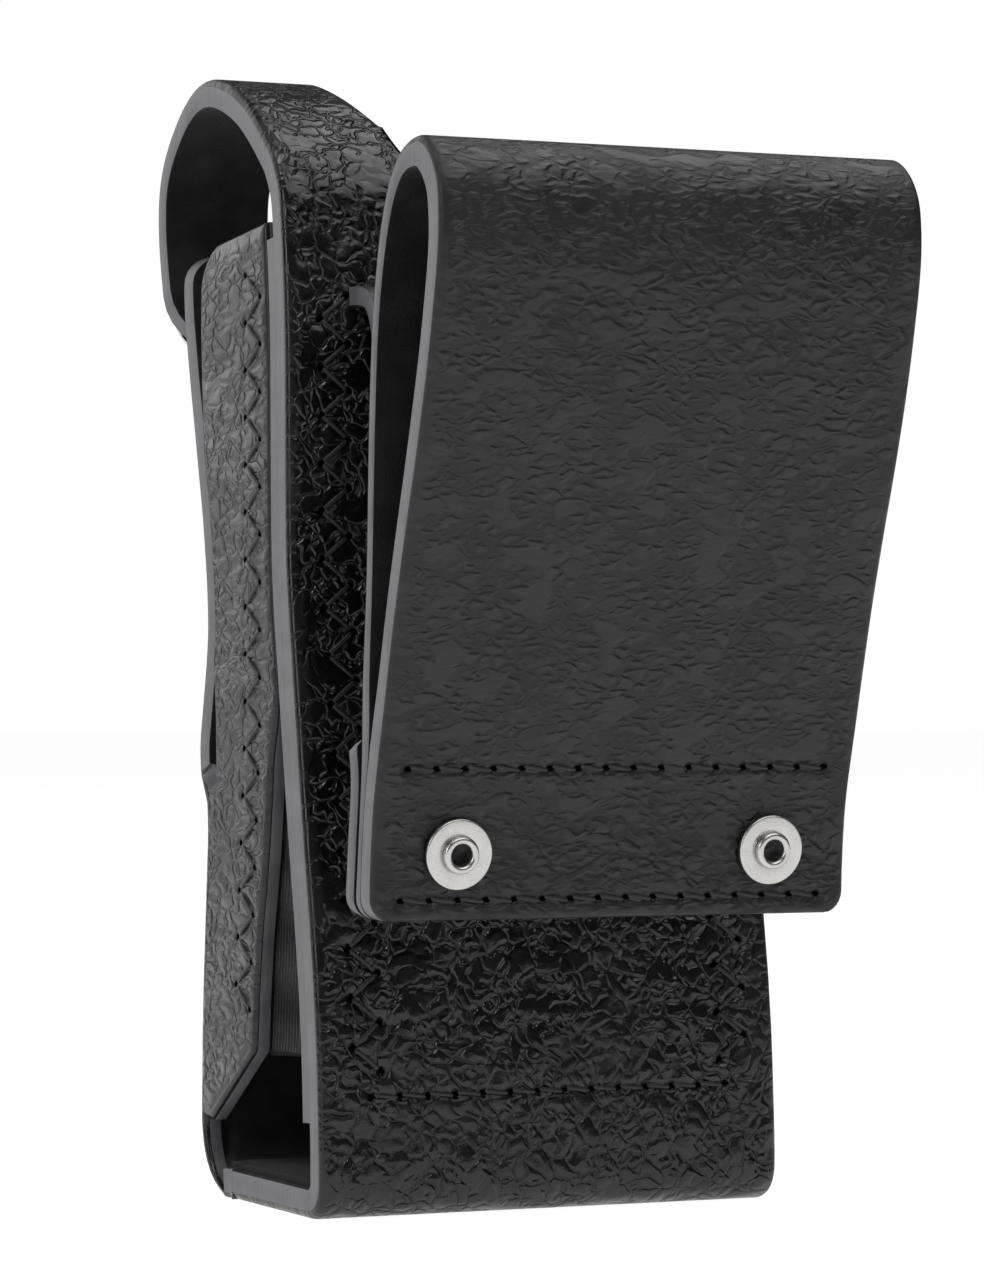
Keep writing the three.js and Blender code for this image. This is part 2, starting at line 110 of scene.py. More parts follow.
def turning(outline):
    """The angle that the outline turns through at each of its points."""
    before = outline - np.roll(outline, 1, axis=0)
    after = np.roll(outline, -1, axis=0) - outline
    cross = before[:, 0] * after[:, 1] - before[:, 1] * after[:, 0]
    dot = (before * after).sum(axis=1)
    return np.abs(np.arctan2(cross, dot))


def long_sides(node, x):
    """The two faces of a leather strip in the section at x, longest runs between its 4 corners."""
    outline = section(node, x)
    while (flat := turning(outline) < 1e-3).any():
        outline = np.delete(outline, int(np.argmax(flat)), axis=0)
    corners = np.sort(np.argsort(turning(outline))[-4:])
    runs = [outline[a:b + 1] if b > a else np.concatenate([outline[a:], outline[:b + 1]])
            for a, b in zip(corners, np.roll(corners, -1))]
    runs.sort(key=path_length)
    return runs[-1], runs[-2]


def path_length(points):
    return float(np.linalg.norm(np.diff(points, axis=0), axis=1).sum())


def toward(points, y, z):
    """The run of points, turned so that it ends nearest to (y, z)."""
    goal = np.array([y, z])
    if np.linalg.norm(points[0] - goal) < np.linalg.norm(points[-1] - goal):
        return points[::-1]
    return points


LONG_RUN = 12 * MM


def hold_straight(points):
    """Adds a point just inside each end of a long straight run, so that a curve stays on it."""
    kept = [points[0]]
    for start, end in zip(points[:-1], points[1:]):
        span = np.linalg.norm(end - start)
        if span > LONG_RUN:
            inset = (end - start) * 2 * MM / span
            kept += [start + inset, end - inset]
        kept.append(end)
    return np.array(kept)


LEAST_GAP = 0.4 * MM                 # between two points that a profile passes through
FINE_STEPS = 12


class Profile:
    """A smooth curve in the side view, measured by the distance along it."""

    def __init__(self, points, smooth=3):
        kept = []
        for point in np.asarray(points, float):
            if not kept or np.linalg.norm(point - kept[-1]) > LEAST_GAP:
                kept.append(point)
        points = hold_straight(kept)
        fine = []
        padded = np.vstack([2 * points[0] - points[1], points, 2 * points[-1] - points[-2]])
        for p0, p1, p2, p3 in zip(padded, padded[1:], padded[2:], padded[3:]):
            span = np.linalg.norm(p2 - p1)
            before = max(np.linalg.norm(p1 - p0), 1e-9)
            after = max(np.linalg.norm(p3 - p2), 1e-9)
            m1 = ((p1 - p0) / before * span + (p2 - p1) * before / span) / (before + span) * span
            m2 = ((p2 - p1) / span * after + (p3 - p2) / after * span) / (after + span) * span
            for t in np.linspace(0, 1, FINE_STEPS, endpoint=False):
                h = (2 * t**3 - 3 * t**2 + 1, t**3 - 2 * t**2 + t, -2 * t**3 + 3 * t**2, t**3 - t**2)
                fine.append(h[0] * p1 + h[1] * m1 + h[2] * p2 + h[3] * m2)
        fine = np.array([*fine, padded[-2]])
        for _ in range(smooth):
            fine[1:-1] = (fine[:-2] + 2 * fine[1:-1] + fine[2:]) / 4
        self.points = fine
        steps = np.linalg.norm(np.diff(fine, axis=0), axis=1)
        self.along = np.concatenate([[0], np.cumsum(steps)])
        self.length = float(self.along[-1])

    def at(self, s):
        return np.stack([np.interp(s, self.along, self.points[:, k]) for k in (0, 1)], axis=-1)

    def outward(self, s):
        """Unit normal to the left of the direction of travel."""
        d = self.at(np.minimum(s + 0.3 * MM, self.length)) - self.at(np.maximum(s - 0.3 * MM, 0))
        d = d / np.linalg.norm(d, axis=-1, keepdims=True)
        return np.stack([-d[..., 1], d[..., 0]], axis=-1)

    def where(self, test):
        """The first distance along the curve at which test(y, z) holds."""
        places = np.linspace(0, self.length, 1200)
        return float(next((s for s in places if test(*self.at(s))), self.length))


# ---- meshes

def new_object(name, vertices, faces, uvs=None):
    mesh = bpy.data.meshes.new(name)
    mesh.from_pydata([tuple(v) for v in vertices], [], [tuple(int(i) for i in f) for f in faces])
    if uvs is not None:
        layer = mesh.uv_layers.new(name="UVMap")
        corners = np.empty(len(mesh.loops), int)
        mesh.loops.foreach_get("vertex_index", corners)
        layer.data.foreach_set("uv", np.asarray(uvs, np.float32)[corners].ravel())
    piece = bpy.data.objects.new(name, mesh)
    bpy.context.scene.collection.objects.link(piece)
    return piece


def grid_faces(rows, columns, offset=0):
    index = np.arange(rows * columns).reshape(rows, columns) + offset
    quads = np.stack([index[:-1, :-1], index[:-1, 1:], index[1:, 1:], index[1:, :-1]], axis=-1)
    return quads.reshape(-1, 4)


def weld(piece, distance, recalculate=False):
    """Joins points that lie within distance of each other."""
    edit = bmesh.new()
    edit.from_mesh(piece.data)
    bmesh.ops.remove_doubles(edit, verts=edit.verts, dist=distance)
    if recalculate:
        bmesh.ops.recalc_face_normals(edit, faces=edit.faces)
    edit.to_mesh(piece.data)
    edit.free()


def join_grids(name, grids):
    """One object from several grids, welded where they meet. A grid is (points, uv, thickness)."""
    faces = []
    weights = []
    count = 0
    for points, uv, thickness in grids:
        faces.append(grid_faces(*points.shape[:2], count))
        weights.append(np.broadcast_to(thickness, points.shape[:2]).ravel())
        count += len(weights[-1])
    vertices = np.vstack([points.reshape(-1, 3) for points, uv, thickness in grids])
    uvs = np.vstack([uv.reshape(-1, 2) for points, uv, thickness in grids])
    piece = new_object(name, vertices, np.vstack(faces), uvs)
    layer = piece.data.attributes.new("thickness", "FLOAT", "POINT")
    layer.data.foreach_set("value", np.concatenate(weights).astype(np.float32))
    weld(piece, 0.02 * MM)
    return piece


def bake_modifiers(piece):
    graph = bpy.context.evaluated_depsgraph_get()
    baked = bpy.data.meshes.new_from_object(piece.evaluated_get(graph))
    piece.modifiers.clear()
    piece.data = baked
    return piece


def thicken(piece):
    """Gives a sheet its thickness inwards: its face, its back and its cut edge are looks 0, 1 and 2."""
    values = np.empty(len(piece.data.vertices), np.float32)
    piece.data.attributes["thickness"].data.foreach_get("value", values)
    most = float(values.max())
    group = piece.vertex_groups.new(name="thickness")
    for i, value in enumerate(values):
        group.add([i], float(value) / most, "REPLACE")
    solid = piece.modifiers.new("thickness", "SOLIDIFY")
    solid.thickness = most
    solid.offset = -1
    solid.vertex_group = "thickness"
    solid.use_even_offset = False
    solid.material_offset = 1
    solid.material_offset_rim = 2
    bake_modifiers(piece)


SEAM_OVERLAP = 0.2 * MM


def at_seam(point, seams):
    """Whether a border point lies where this sheet runs on into the next one."""
    for place, direction in seams:
        offset = point[1:] - place
        if abs(offset.dot(direction)) < 2 * SEAM_OVERLAP and np.linalg.norm(offset) < 6 * MM:
            return True
    return False


FAR_IN = 3.0                         # millimetres beyond which the margin no longer counts


def roll_edges(piece, normals, face_radius, back_radius, seams=()):
    """Rounds the face over the cut edge, and the back a little less, without new vertices."""
    mesh = piece.data
    points = coordinates(mesh)
    half = len(normals)
    rim = set()
    for face in mesh.polygons:
        if face.material_index == 2:
            rim.update(face.vertices)
    low, high = points[:, 0].min() + 0.05 * MM, points[:, 0].max() - 0.05 * MM
    margin = np.full(len(points), FAR_IN, np.float32)
    for first, sign, radius in ((0, -1, face_radius), (half, 1, back_radius)):
        border = [i for i in rim if first <= i < first + half]
        border = [i for i in border if not low < points[i][0] < high or not at_seam(points[i], seams)]
        tree = KDTree(len(border))
        for i in border:
            tree.insert(points[i], i)
        tree.balance()
        for i in range(first, first + half):
            distance = tree.find(points[i])[2]
            margin[i] = min(distance / MM, FAR_IN)
            if distance < radius:
                drop = radius - math.sqrt(radius**2 - (radius - distance)**2)
                points[i] += sign * normals[i - first] * drop
    mesh.vertices.foreach_set("co", points.ravel())
    layer = mesh.attributes.new("margin", "FLOAT", "POINT")
    layer.data.foreach_set("value", margin)
    mesh.update()


SHARP_ANGLE = math.radians(50)


def finish_leather(piece, looks, face_radius=1.1 * MM, back_radius=0.15 * MM, seams=(),
                   square=False):
    """Thickness, rolled edges and looks. A square piece's back lies straight behind its face."""
    for look in looks:
        piece.data.materials.append(look)
    normals = np.array([tuple(v.normal) for v in piece.data.vertices])
    half = len(normals)
    thicken(piece)
    if square:
        vertices = piece.data.vertices
        for i in range(half):
            vertices[half + i].co.x = vertices[i].co.x
    roll_edges(piece, normals, face_radius, back_radius, seams)
    piece.data.shade_smooth()
    piece.data.set_sharp_from_angle(angle=SHARP_ANGLE)
    return piece


def shell_seam(s):
    """Where the outer shell is cut at distance s, for at_seam."""
    direction = SHELL.at(s + MM) - SHELL.at(s - MM)
    return SHELL.at(s), direction / np.linalg.norm(direction)


ROLL_PLACES = np.array([0.0, 0.04, 0.15, 0.33, 0.6, 0.95]) * 1.15 * MM


def with_fine_ends(places, at_start=True, at_end=True):
    """Adds closely spaced places near the ends, where the leather rolls over its edge."""
    sign = 1 if places[-1] > places[0] else -1
    reach = ROLL_PLACES[-1] + 0.3 * MM
    for wanted, end, inward in ((at_start, places[0], sign), (at_end, places[-1], -sign)):
        if wanted:
            kept = places[(places - end) * inward > reach]
            places = np.concatenate([kept, end + inward * ROLL_PLACES])
    return np.sort(places)[::sign]


def spread(start, end, step=STEP):
    count = max(2, int(round(abs(end - start) / step)) + 1)
    return np.linspace(start, end, count)


def lay(profile, across, along, thickness):
    """A grid for join_grids: a sheet's (across, along) places, laid on a side profile."""
    across, along = np.broadcast_arrays(across, along)
    flat = profile.at(along)
    return (np.stack([across, flat[..., 0], flat[..., 1]], axis=-1), np.stack([across, along], -1),
            thickness)


def strip_places(rows, left, right, half):
    """Across and along places of a strip whose half width is given at each of its rows."""
    middle = (left + right) / 2
    share = (with_fine_ends(spread(left, right)) - middle) / ((right - left) / 2)
    return middle + share * half[:, None], rows[:, None]


def rounded_rows(start, end, radius, step=STEP, least=0.12):
    """Row places from start to end, closer together towards the end, for a rounded corner there."""
    sign = 1 if end > start else -1
    straight = spread(start, end - sign * radius, step)
    turn = np.linspace(0, math.pi / 2 - least, 7)[1:]
    return np.concatenate([straight, end - sign * radius + sign * radius * np.sin(turn)])


def corner_trim(left, radius):
    """How far a side draws in, for a rounded corner, where `left` remains to the end."""
    reach = np.clip(radius - left, 0, radius)
    return radius - np.sqrt(np.maximum(radius**2 - reach**2, 0))


# ---- materials

class Field:
    """A number that varies over the surface: + - * / on it add maths nodes."""

    def __init__(self, look, socket):
        self.look = look
        self.socket = socket

    def __abs__(self):
        return self.look.math("ABSOLUTE", self)

    __add__ = lambda self, other: self.look.math("ADD", self, other)
    __sub__ = lambda self, other: self.look.math("SUBTRACT", self, other)
    __mul__ = lambda self, other: self.look.math("MULTIPLY", self, other)
    __truediv__ = lambda self, other: self.look.math("DIVIDE", self, other)


class Nodes:
    """A little shorthand for building a material's node tree."""

    def __init__(self, name):
        self.material = bpy.data.materials.new(name)
        self.material.use_nodes = True
        self.tree = self.material.node_tree
        self.shader = self.tree.nodes["Principled BSDF"]

    def make(self, kind, *numbered, operation=None, **named):
        node = self.tree.nodes.new("ShaderNode" + kind)
        if operation:
            node.operation = operation
        for key, value in [*enumerate(numbered), *named.items()]:
            self.put(node, key, value)
        return node

    def put(self, node, key, value):
        if isinstance(key, str):
            key = key.replace("_", " ")
        value = value.socket if isinstance(value, Field) else value
        if isinstance(value, bpy.types.NodeSocket):
            self.tree.links.new(value, node.inputs[key])
        else:
            node.inputs[key].default_value = value

    def shade(self, **sockets):
        """Sets the shader's sockets to plain values or links them."""
        for key, value in sockets.items():
            self.put(self.shader, key, value)

    def math(self, operation, *values):
        return Field(self, self.make("Math", *values, operation=operation).outputs[0])

    def vector(self, operation, *values, **scale):
        return self.make("VectorMath", *values, operation=operation, **scale).outputs[0]

    def place(self, kind="UV"):
        """The surface place in millimetres."""
        return self.vector("SCALE", self.make("TexCoord").outputs[kind], Scale=1000.0)

    def axes(self):
        """The object place in millimetres, one field for each axis."""
        parts = self.make("SeparateXYZ", Vector=self.place("Object"))
        return [Field(self, socket) for socket in parts.outputs]

    def noise(self, place, scale, detail=2.0, output="Fac"):
        return Field(self, self.make("TexNoise", Scale=scale, Detail=detail, Vector=place).outputs[output])

    def ramp(self, value, low, high, a=0.0, b=1.0):
        node = self.make("MapRange", Value=value, From_Min=low, From_Max=high, To_Min=a, To_Max=b)
        node.interpolation_type = "SMOOTHSTEP"
        return Field(self, node.outputs["Result"])

    def mix(self, factor, a, b):
        node = self.tree.nodes.new("ShaderNodeMix")
        node.data_type = "RGBA"
        for key, value in ((0, factor), (6, a), (7, b)):
            self.put(node, key, value)
        return node.outputs[2]

    def bump(self, height):
        """Height is in millimetres."""
        node = self.make("Bump", Strength=1.0, Distance=MM, Height=height)
        self.shade(Normal=node.outputs[0])


def crease_network(look, place, cell, width):
    """Winding grooves between cells, 1 in the groove and 0 on the plateau."""
    warped = place
    for fineness, reach in ((0.45, 1.3), (1.5, 0.75)):
        sway = look.noise(place, fineness / cell, 0.0, "Color").socket
        sway = look.vector("SUBTRACT", sway, (0.5, 0.5, 0.5))
        warped = look.vector("ADD", warped, look.vector("SCALE", sway, Scale=reach * cell))
    cells = look.make("TexVoronoi", Scale=1 / cell, Vector=warped)
    cells.feature = "DISTANCE_TO_EDGE"
    edge = Field(look, cells.outputs["Distance"])
    return look.ramp(edge, 0.01, width / cell, 1.0, 0.0), edge


def worm_network(look, place, cell, width):
    """Curling grooves, where a smooth noise crosses its middle value."""
    away = abs(look.noise(place, 0.95 / cell, 0.0) - 0.5)
    return look.ramp(away, 0.01, width * 0.6 / cell, 1.0, 0.0)


GROOVE_DEPTH, PULL_DEPTH, NEEDLE_DEPTH = 0.16, 0.22, 0.45      # in millimetres, like all looks


def stitch_dents(look, across, along, pitch, swing, length):
    """Needle holes and the groove of a seam: a zigzag of half width `swing`, or a straight row."""
    step = along / pitch
    nearest = look.math("ROUND", step)
    on_line, on_hole = ((look.math("PINGPONG", s, 1.0) - 0.5) * (2 * swing) for s in (step, nearest))
    off_line = abs(across - on_line) * (pitch / math.hypot(pitch, 2 * swing))
    dx = across - on_hole
    dy = (step - nearest) * pitch
    off_hole = look.math("SQRT", dx * dx + dy * dy)
    inside = look.ramp(along, -1.2, -0.6) * look.ramp(along, length + 0.6, length + 1.2, 1.0, 0.0)
    groove = look.ramp(off_line, 0.25, 1.1, 1.0, 0.0) * inside
    hole = look.ramp(off_hole, 0.3, 0.8, 1.0, 0.0) * inside
    pull = look.ramp(off_hole, 0.3, 2.1, 1.0, 0.0) * inside
    return groove * GROOVE_DEPTH + pull * PULL_DEPTH + hole * NEEDLE_DEPTH, hole


def times(colour, factor):
    return tuple(factor * c for c in colour[:3]) + (1,)


def pebbled(name, cell, depth, colour, roughness, stretch=1.0, width=0.42, seams=()):
    """Embossed leather: low pebbles parted by sharp winding creases, many of them broken off. The creases
    and the needle holes are darkened in the base colour as painted shade.
    """
    look = Nodes(name)
    place = look.place()
    grain = look.vector("MULTIPLY", place, (stretch, 1.0, 1.0))
    beyond = look.vector("ADD", grain, (37.0, 11.0, 5.0))
    cells, edge = crease_network(look, grain, cell, width)
    worms = worm_network(look, beyond, cell, width)
    some = look.ramp(look.noise(grain, 0.5 / cell, 0.0), 0.34, 0.44, 0.1, 1.0)
    others = look.ramp(look.noise(beyond, 0.45 / cell, 0.0), 0.52, 0.58)
    crease = look.math("MAXIMUM", cells * some, worms * (others * 0.7))
    dome = look.ramp(edge, 0.0, 0.5)
    height = crease * -depth + dome * (depth * 0.35)
    height = height + look.noise(place, 0.22, 0.0) * (depth * 2.0)
    height = height + look.noise(grain, 3.0, 2.0) * (depth * 0.08)
    tone = look.noise(place, 0.07, 2.0)
    base = look.mix(look.ramp(tone, 0.35, 0.7), colour, times(colour, 1.5))
    # painted shade: the creases are darkened in the base colour, on top of their bump
    base = look.mix(crease, base, times(colour, 0.45))
    margin = look.tree.nodes.new("ShaderNodeAttribute")
    margin.attribute_name = "margin"
    height = height * look.ramp(margin.outputs["Fac"], 0.5, 2.2, 0.12, 1.0)
    for seam_place in seams:
        dent, hole = stitch_dents(look, *seam_place(look))
        height = height - dent
        # painted shade: the needle holes are painted near black
        base = look.mix(hole, base, (0.0005, 0.0005, 0.0005, 1))
    rough = look.ramp(crease, 0.0, 1.0, roughness, roughness + 0.12)
    look.shade(Base_Color=base, Roughness=rough + look.ramp(tone, 0.3, 0.7, -0.05, 0.07))
    look.bump(height)
    return look.material


# Seams, in millimetres: half the pitch of a zigzag, or the whole pitch of a straight row.
ZIGZAG_STEP = 3.3
STRAIGHT_STEP = 4.1
BACK_SEAM = {"x": 27.6, "swing": 2.0, "low": 20.0, "steps": 32}
WING_SEAM = {"y": 1.3, "lean": 6.2 / 66, "knee": 66.0, "swing": 2.7, "low": 27.0, "steps": 31}
LINING_SEAM = {"x": 27.0, "z": 16.6, "steps": 13}
LOOP_SEAM_HALF = 31.0
LOOP_SEAMS = {"upper": 61.0, "lower": 43.6}


# Each seam place gives the fields across and along a seam, and stitch_dents' numbers.
def back_seam_place(look):
    x, y, z = look.axes()
    return (abs(x) - BACK_SEAM["x"], z - BACK_SEAM["low"], ZIGZAG_STEP, BACK_SEAM["swing"],
            BACK_SEAM["steps"] * ZIGZAG_STEP)


def lining_seam_place(look):
    x, y, z = look.axes()
    behind = look.ramp(y, 0.0, 1.0, 0.0, 50.0)
    return (z - LINING_SEAM["z"] + behind, x + LINING_SEAM["x"], STRAIGHT_STEP, 0.0,
            LINING_SEAM["steps"] * STRAIGHT_STEP)


def wing_seam_place(look):
    x, y, z = look.axes()
    below = look.math("MAXIMUM", look.math("SUBTRACT", WING_SEAM["knee"], z), 0.0)
    return (y - (below * WING_SEAM["lean"] + WING_SEAM["y"]), z - WING_SEAM["low"], ZIGZAG_STEP,
            WING_SEAM["swing"], WING_SEAM["steps"] * ZIGZAG_STEP)


def loop_seam_place(level):
    def place_of(look):
        x, y, z = look.axes()
        return z - level, x + LOOP_SEAM_HALF, STRAIGHT_STEP, 0.0, 2 * LOOP_SEAM_HALF
    return place_of


def painted_edge():
    """Grey edge paint over the stacked fibres of cut leather."""
    look = Nodes("edge_paint")
    place = look.place("Object")
    strata = look.noise(look.vector("MULTIPLY", place, (2.0, 2.0, 0.12)), 1.0)
    blotch = look.noise(place, 0.18, 3.0)
    speck = look.ramp(look.noise(place, 2.2), 0.66, 0.8)
    grey = look.mix(look.ramp(blotch, 0.3, 0.7), (0.105, 0.102, 0.117, 1), (0.150, 0.146, 0.163, 1))
    grey = look.mix(speck * 0.25, grey, (0.03, 0.03, 0.033, 1))
    look.shade(Base_Color=look.mix(look.ramp(strata, 0.25, 0.5, 0.3, 0.0), grey, (0.05, 0.05, 0.055, 1)),
               Roughness=look.ramp(blotch, 0.3, 0.7, 0.44, 0.54))
    look.bump(strata * 0.07 + blotch * 0.12)
    return look.material


def suede(name="suede", colour=(0.0085, 0.0085, 0.009, 1)):
    """The napped flesh side, matte and slightly mottled."""
    look = Nodes(name)
    place = look.place("Object")
    nap = look.noise(place, 2.6, 4.0)
    patch = look.ramp(look.noise(place, 0.25, 3.0), 0.35, 0.7)
    look.shade(Base_Color=look.mix(patch, colour, times(colour, 2.0)), Roughness=0.88,
               Specular_IOR_Level=0.25, Sheen_Weight=0.06, Sheen_Roughness=0.5)
    look.bump(nap * 0.16)
    return look.material


def thread_look():
    look = Nodes("bonded_thread")
    place = look.place("Object")
    look.shade(Base_Color=look.mix(look.noise(place, 1.5), (0.006, 0.006, 0.007, 1),
                                   (0.016, 0.016, 0.018, 1)), Roughness=0.45)
    look.bump(look.noise(place, 7.0) * 0.1)
    return look.material


def painted_hole_shade():
    """Painted shade for the inside of a stitch's hole, near black and matte."""
    look = Nodes("painted_hole_shade")
    depth = look.noise(look.place("Object"), 4.0, 1.0)
    look.shade(Base_Color=look.mix(depth, (0.0006, 0.0006, 0.0006, 1), (0.002, 0.002, 0.002, 1)),
               Roughness=1.0, Specular_IOR_Level=0.0)
    return look.material


RIB = 1.05                           # millimetres from rib to rib


def elastic_look():
    """Tight black knit, seen as upright ribs with a faint cross weave, the rib grooves darkened and the
    crests lightened as painted shade.
    """
    look = Nodes("ribbed_elastic")
    place = look.place("Object")
    knit = look.noise(look.vector("MULTIPLY", place, (1.0, 1.0, 0.35)), 5.0)
    wave = look.math("PINGPONG", look.axes()[1] / (RIB / 2), 1.0)
    # painted shade: the colour follows the ribs' bump, darker in the grooves and lighter on the crests,
    # mixed with random knit noise
    look.shade(Base_Color=look.mix(wave * knit, (0.003, 0.003, 0.0035, 1), (0.022, 0.022, 0.024, 1)),
               Roughness=0.85, Specular_IOR_Level=0.25, Sheen_Weight=0.15)
    look.bump(wave * 0.14 + knit * 0.10)
    return look.material


def nickel_look():
    look = Nodes("nickel_plate")
    place = look.place("Object")
    smear = look.noise(place, 0.5)
    scratch = look.noise(look.vector("MULTIPLY", place, (1.0, 1.0, 5.0)), 2.0)
    look.shade(Base_Color=look.mix(smear, (0.50, 0.49, 0.47, 1), (0.66, 0.65, 0.63, 1)), Metallic=1.0,
               Roughness=look.ramp(scratch, 0.3, 0.7, 0.24, 0.36))
    look.bump(smear * 0.02)
    return look.material


EDGE = painted_edge()
SUEDE = suede()
LINING = suede("lining", (0.007, 0.007, 0.0075, 1))
THREAD = thread_look()
ELASTIC = elastic_look()
NICKEL = nickel_look()
BLACK = (0.0035, 0.0035, 0.0038, 1)
CHARCOAL = (0.0055, 0.0055, 0.0062, 1)
PEBBLE_BACK = pebbled("pebbled_leather_back", 2.9, 0.30, BLACK, 0.25, width=0.36,
                      seams=(back_seam_place, lining_seam_place))
PEBBLE_FRONT = pebbled("pebbled_leather_front", 2.6, 0.28, BLACK, 0.30, width=0.32,
                       seams=(wing_seam_place,))
PEBBLE_STRAP = pebbled("pebbled_leather_strap", 2.9, 0.30, BLACK, 0.25, width=0.36)
LOOP_GRAIN = pebbled("loop_leather", 1.7, 0.14, CHARCOAL, 0.40, stretch=0.55, width=0.6,
                     seams=[loop_seam_place(level) for level in LOOP_SEAMS.values()])
TAB_GRAIN = pebbled("tab_leather", 1.7, 0.14, CHARCOAL, 0.40, stretch=0.55, width=0.6)
# painted shade: near-black discs stand in for the shade inside the needle holes
HOLE_SHADE = painted_hole_shade()

# ---- side profiles

MID = 0.4 * MM                       # sections are taken just beside a mesh's own edges


def outer_side(node, x, y, z):
    """Of a strip's two faces, the one that passes nearest to (y, z)."""
    sides = long_sides(node, x)
    goal = np.array([y, z])
    return min(sides, key=lambda run: np.linalg.norm(run - goal, axis=1).min())


STRAP_SOFTENING = 30


def soften(profile, rounds):
    """The profile at even one-millimetre steps, with its corners worn down."""
    points = profile.at(np.linspace(0, profile.length, int(profile.length / MM) + 1))
    for _ in range(rounds):
        points[1:-1] = (points[:-2] + 2 * points[1:-1] + points[2:]) / 4
    return points


def shell_profiles():
    """Front top, down, under, up the back and over the strap: the outer face of the pouch."""
    strip_low, strip_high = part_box("bottom_strip")
    back_low, back_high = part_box("back_panel")
    strap_side = STRAP_LEFT + 2.2 * MM
    faces = [toward(outer_side(node, x, *near), *end) for node, x, near, end in (
        ("front_panel", MID, (strip_high[1], 0.02), (strip_high[1], 0)),
        ("bottom_strip", MID, (0, 0), (strip_low[1], 0.01)),
        ("back_panel", STRAP_LEFT + 5 * MM, (back_low[1], 0.01), back_high[1:]),
        ("retaining_strap", STRAP_MIDDLE, (0.02, 0.17), (0.04, 0.145)),
        ("strap_tip", strap_side, (0.05, 0.14), (0.03, 0.11)))]
    pouch = Profile(np.vstack(faces[:3]))
    over = Profile(np.vstack([faces[2][-1:], *faces[3:]]))
    return Profile(np.vstack([pouch.points, soften(over, STRAP_SOFTENING)[1:]]), 0)


SHELL = shell_profiles()
UNDER_SEAM = SHELL.where(lambda y, z: z < 0.5 * MM and y < 9 * MM)
BACK_START = SHELL.where(lambda y, z: y < -20 * MM and z > 9 * MM)
STRAP_SEAM = BACK_START + Profile(SHELL.at(np.linspace(BACK_START, SHELL.length, 400)), 0).where(
    lambda y, z: z > 150 * MM and y > 28 * MM)


def shell_height(z, after=0.0, rising=True):
    """Distance along the shell where it first reaches height z after a given place."""
    for s in np.linspace(after, SHELL.length, 2400):
        height = SHELL.at(s)[1]
        if (height >= z) if rising else (height <= z):
            return float(s)
    return SHELL.length


# ---- the pouch's back and strap

BACK_THICKNESS = 4.0 * MM
BACK_SPLIT = 96 * MM                 # above this height the back's rows fan out to the shoulder


def along_curve(points, shares):
    """The places at the given shares of a polyline's length."""
    along = np.concatenate([[0], np.cumsum(np.linalg.norm(np.diff(points, axis=0), axis=1))])
    return np.stack([np.interp(shares * along[-1], along, points[:, k]) for k in (0, 1)], axis=-1)


STRAP_ROOT = 151 * MM                # height at which the strap leaves the back panel
SHOULDER_CORNER = 3 * MM


def shoulder_curve(shares):
    """The back panel's top edge from the strap's root across to the right side, as (x, z)."""
    bends = np.array([(ROOT_RIGHT, STRAP_ROOT), (ROOT_RIGHT + 1 * MM, 140 * MM),
                      (-6 * MM, SHOULDER + 1 * MM), (6 * MM, SHOULDER)])
    t = np.linspace(0, 1, 40)
    weights = np.array([(1 - t)**3, 3 * t * (1 - t)**2, 3 * t * t * (1 - t), t**3]).T
    turn = np.linspace(0, math.pi / 2, 8)
    corner = np.stack([HALF_WIDTH - SHOULDER_CORNER * (1 - np.sin(turn)),
                       SHOULDER - SHOULDER_CORNER * (1 - np.cos(turn))], -1)
    return along_curve(np.vstack([weights @ bends, corner]), shares)


def build_back():
    split = shell_height(BACK_SPLIT, BACK_START)
    root = shell_height(STRAP_ROOT, BACK_START)
    low = spread(UNDER_SEAM - SEAM_OVERLAP, split)[:, None]
    high = with_fine_ends(spread(split, root), at_start=False)[:, None]
    over = spread(root, STRAP_SEAM)[:, None]
    left = with_fine_ends(spread(STRAP_LEFT, ROOT_RIGHT))
    right = with_fine_ends(spread(ROOT_RIGHT, HALF_WIDTH), at_start=False)

    edge = shoulder_curve((right - right[0]) / (right[-1] - right[0]))
    edge_s = np.array([shell_height(z, BACK_START) for z in edge[:, 1]])
    edge_s[0] = root
    t = (high - split) / (root - split)
    shoulder = right * (1 - t) + edge[:, 0] * t, split + (edge_s - split) * t

    t = np.clip((over - root) / STRAP_FLARE, 0, 1)
    right_edge = ROOT_RIGHT + (STRAP_RIGHT - ROOT_RIGHT) * (t * (2 - t))
    strap = STRAP_LEFT + (left - STRAP_LEFT) / (ROOT_RIGHT - STRAP_LEFT) * (right_edge - STRAP_LEFT)
    places = ((np.concatenate([left, right[1:]]), low), (left, high), shoulder, (strap, over))
    piece = join_grids("pouch_back", [lay(SHELL, x, s, BACK_THICKNESS) for x, s in places])
    return finish_leather(piece, (PEBBLE_BACK, SUEDE, EDGE), back_radius=0.04 * MM,
                          seams=(shell_seam(UNDER_SEAM), shell_seam(STRAP_SEAM)), square=True)


STRAP_FLARE = 17 * MM                # length over which the strap narrows above its root


def build_strap_front():
    radius = (STRAP_RIGHT - STRAP_LEFT) / 2
    rows = rounded_rows(STRAP_SEAM, SHELL.length, radius, least=0.1)
    half = radius - corner_trim(SHELL.length - rows, radius)
    places = strip_places(rows, STRAP_LEFT, STRAP_RIGHT, half)
    piece = join_grids("strap_front", [lay(SHELL, *places, BACK_THICKNESS)])
    return finish_leather(piece, (PEBBLE_STRAP, SUEDE, EDGE), seams=(shell_seam(STRAP_SEAM),))


# ---- the pouch's front and sides

FRONT_THICKNESS = 4.3 * MM
WING_THICKNESS = 2.6 * MM


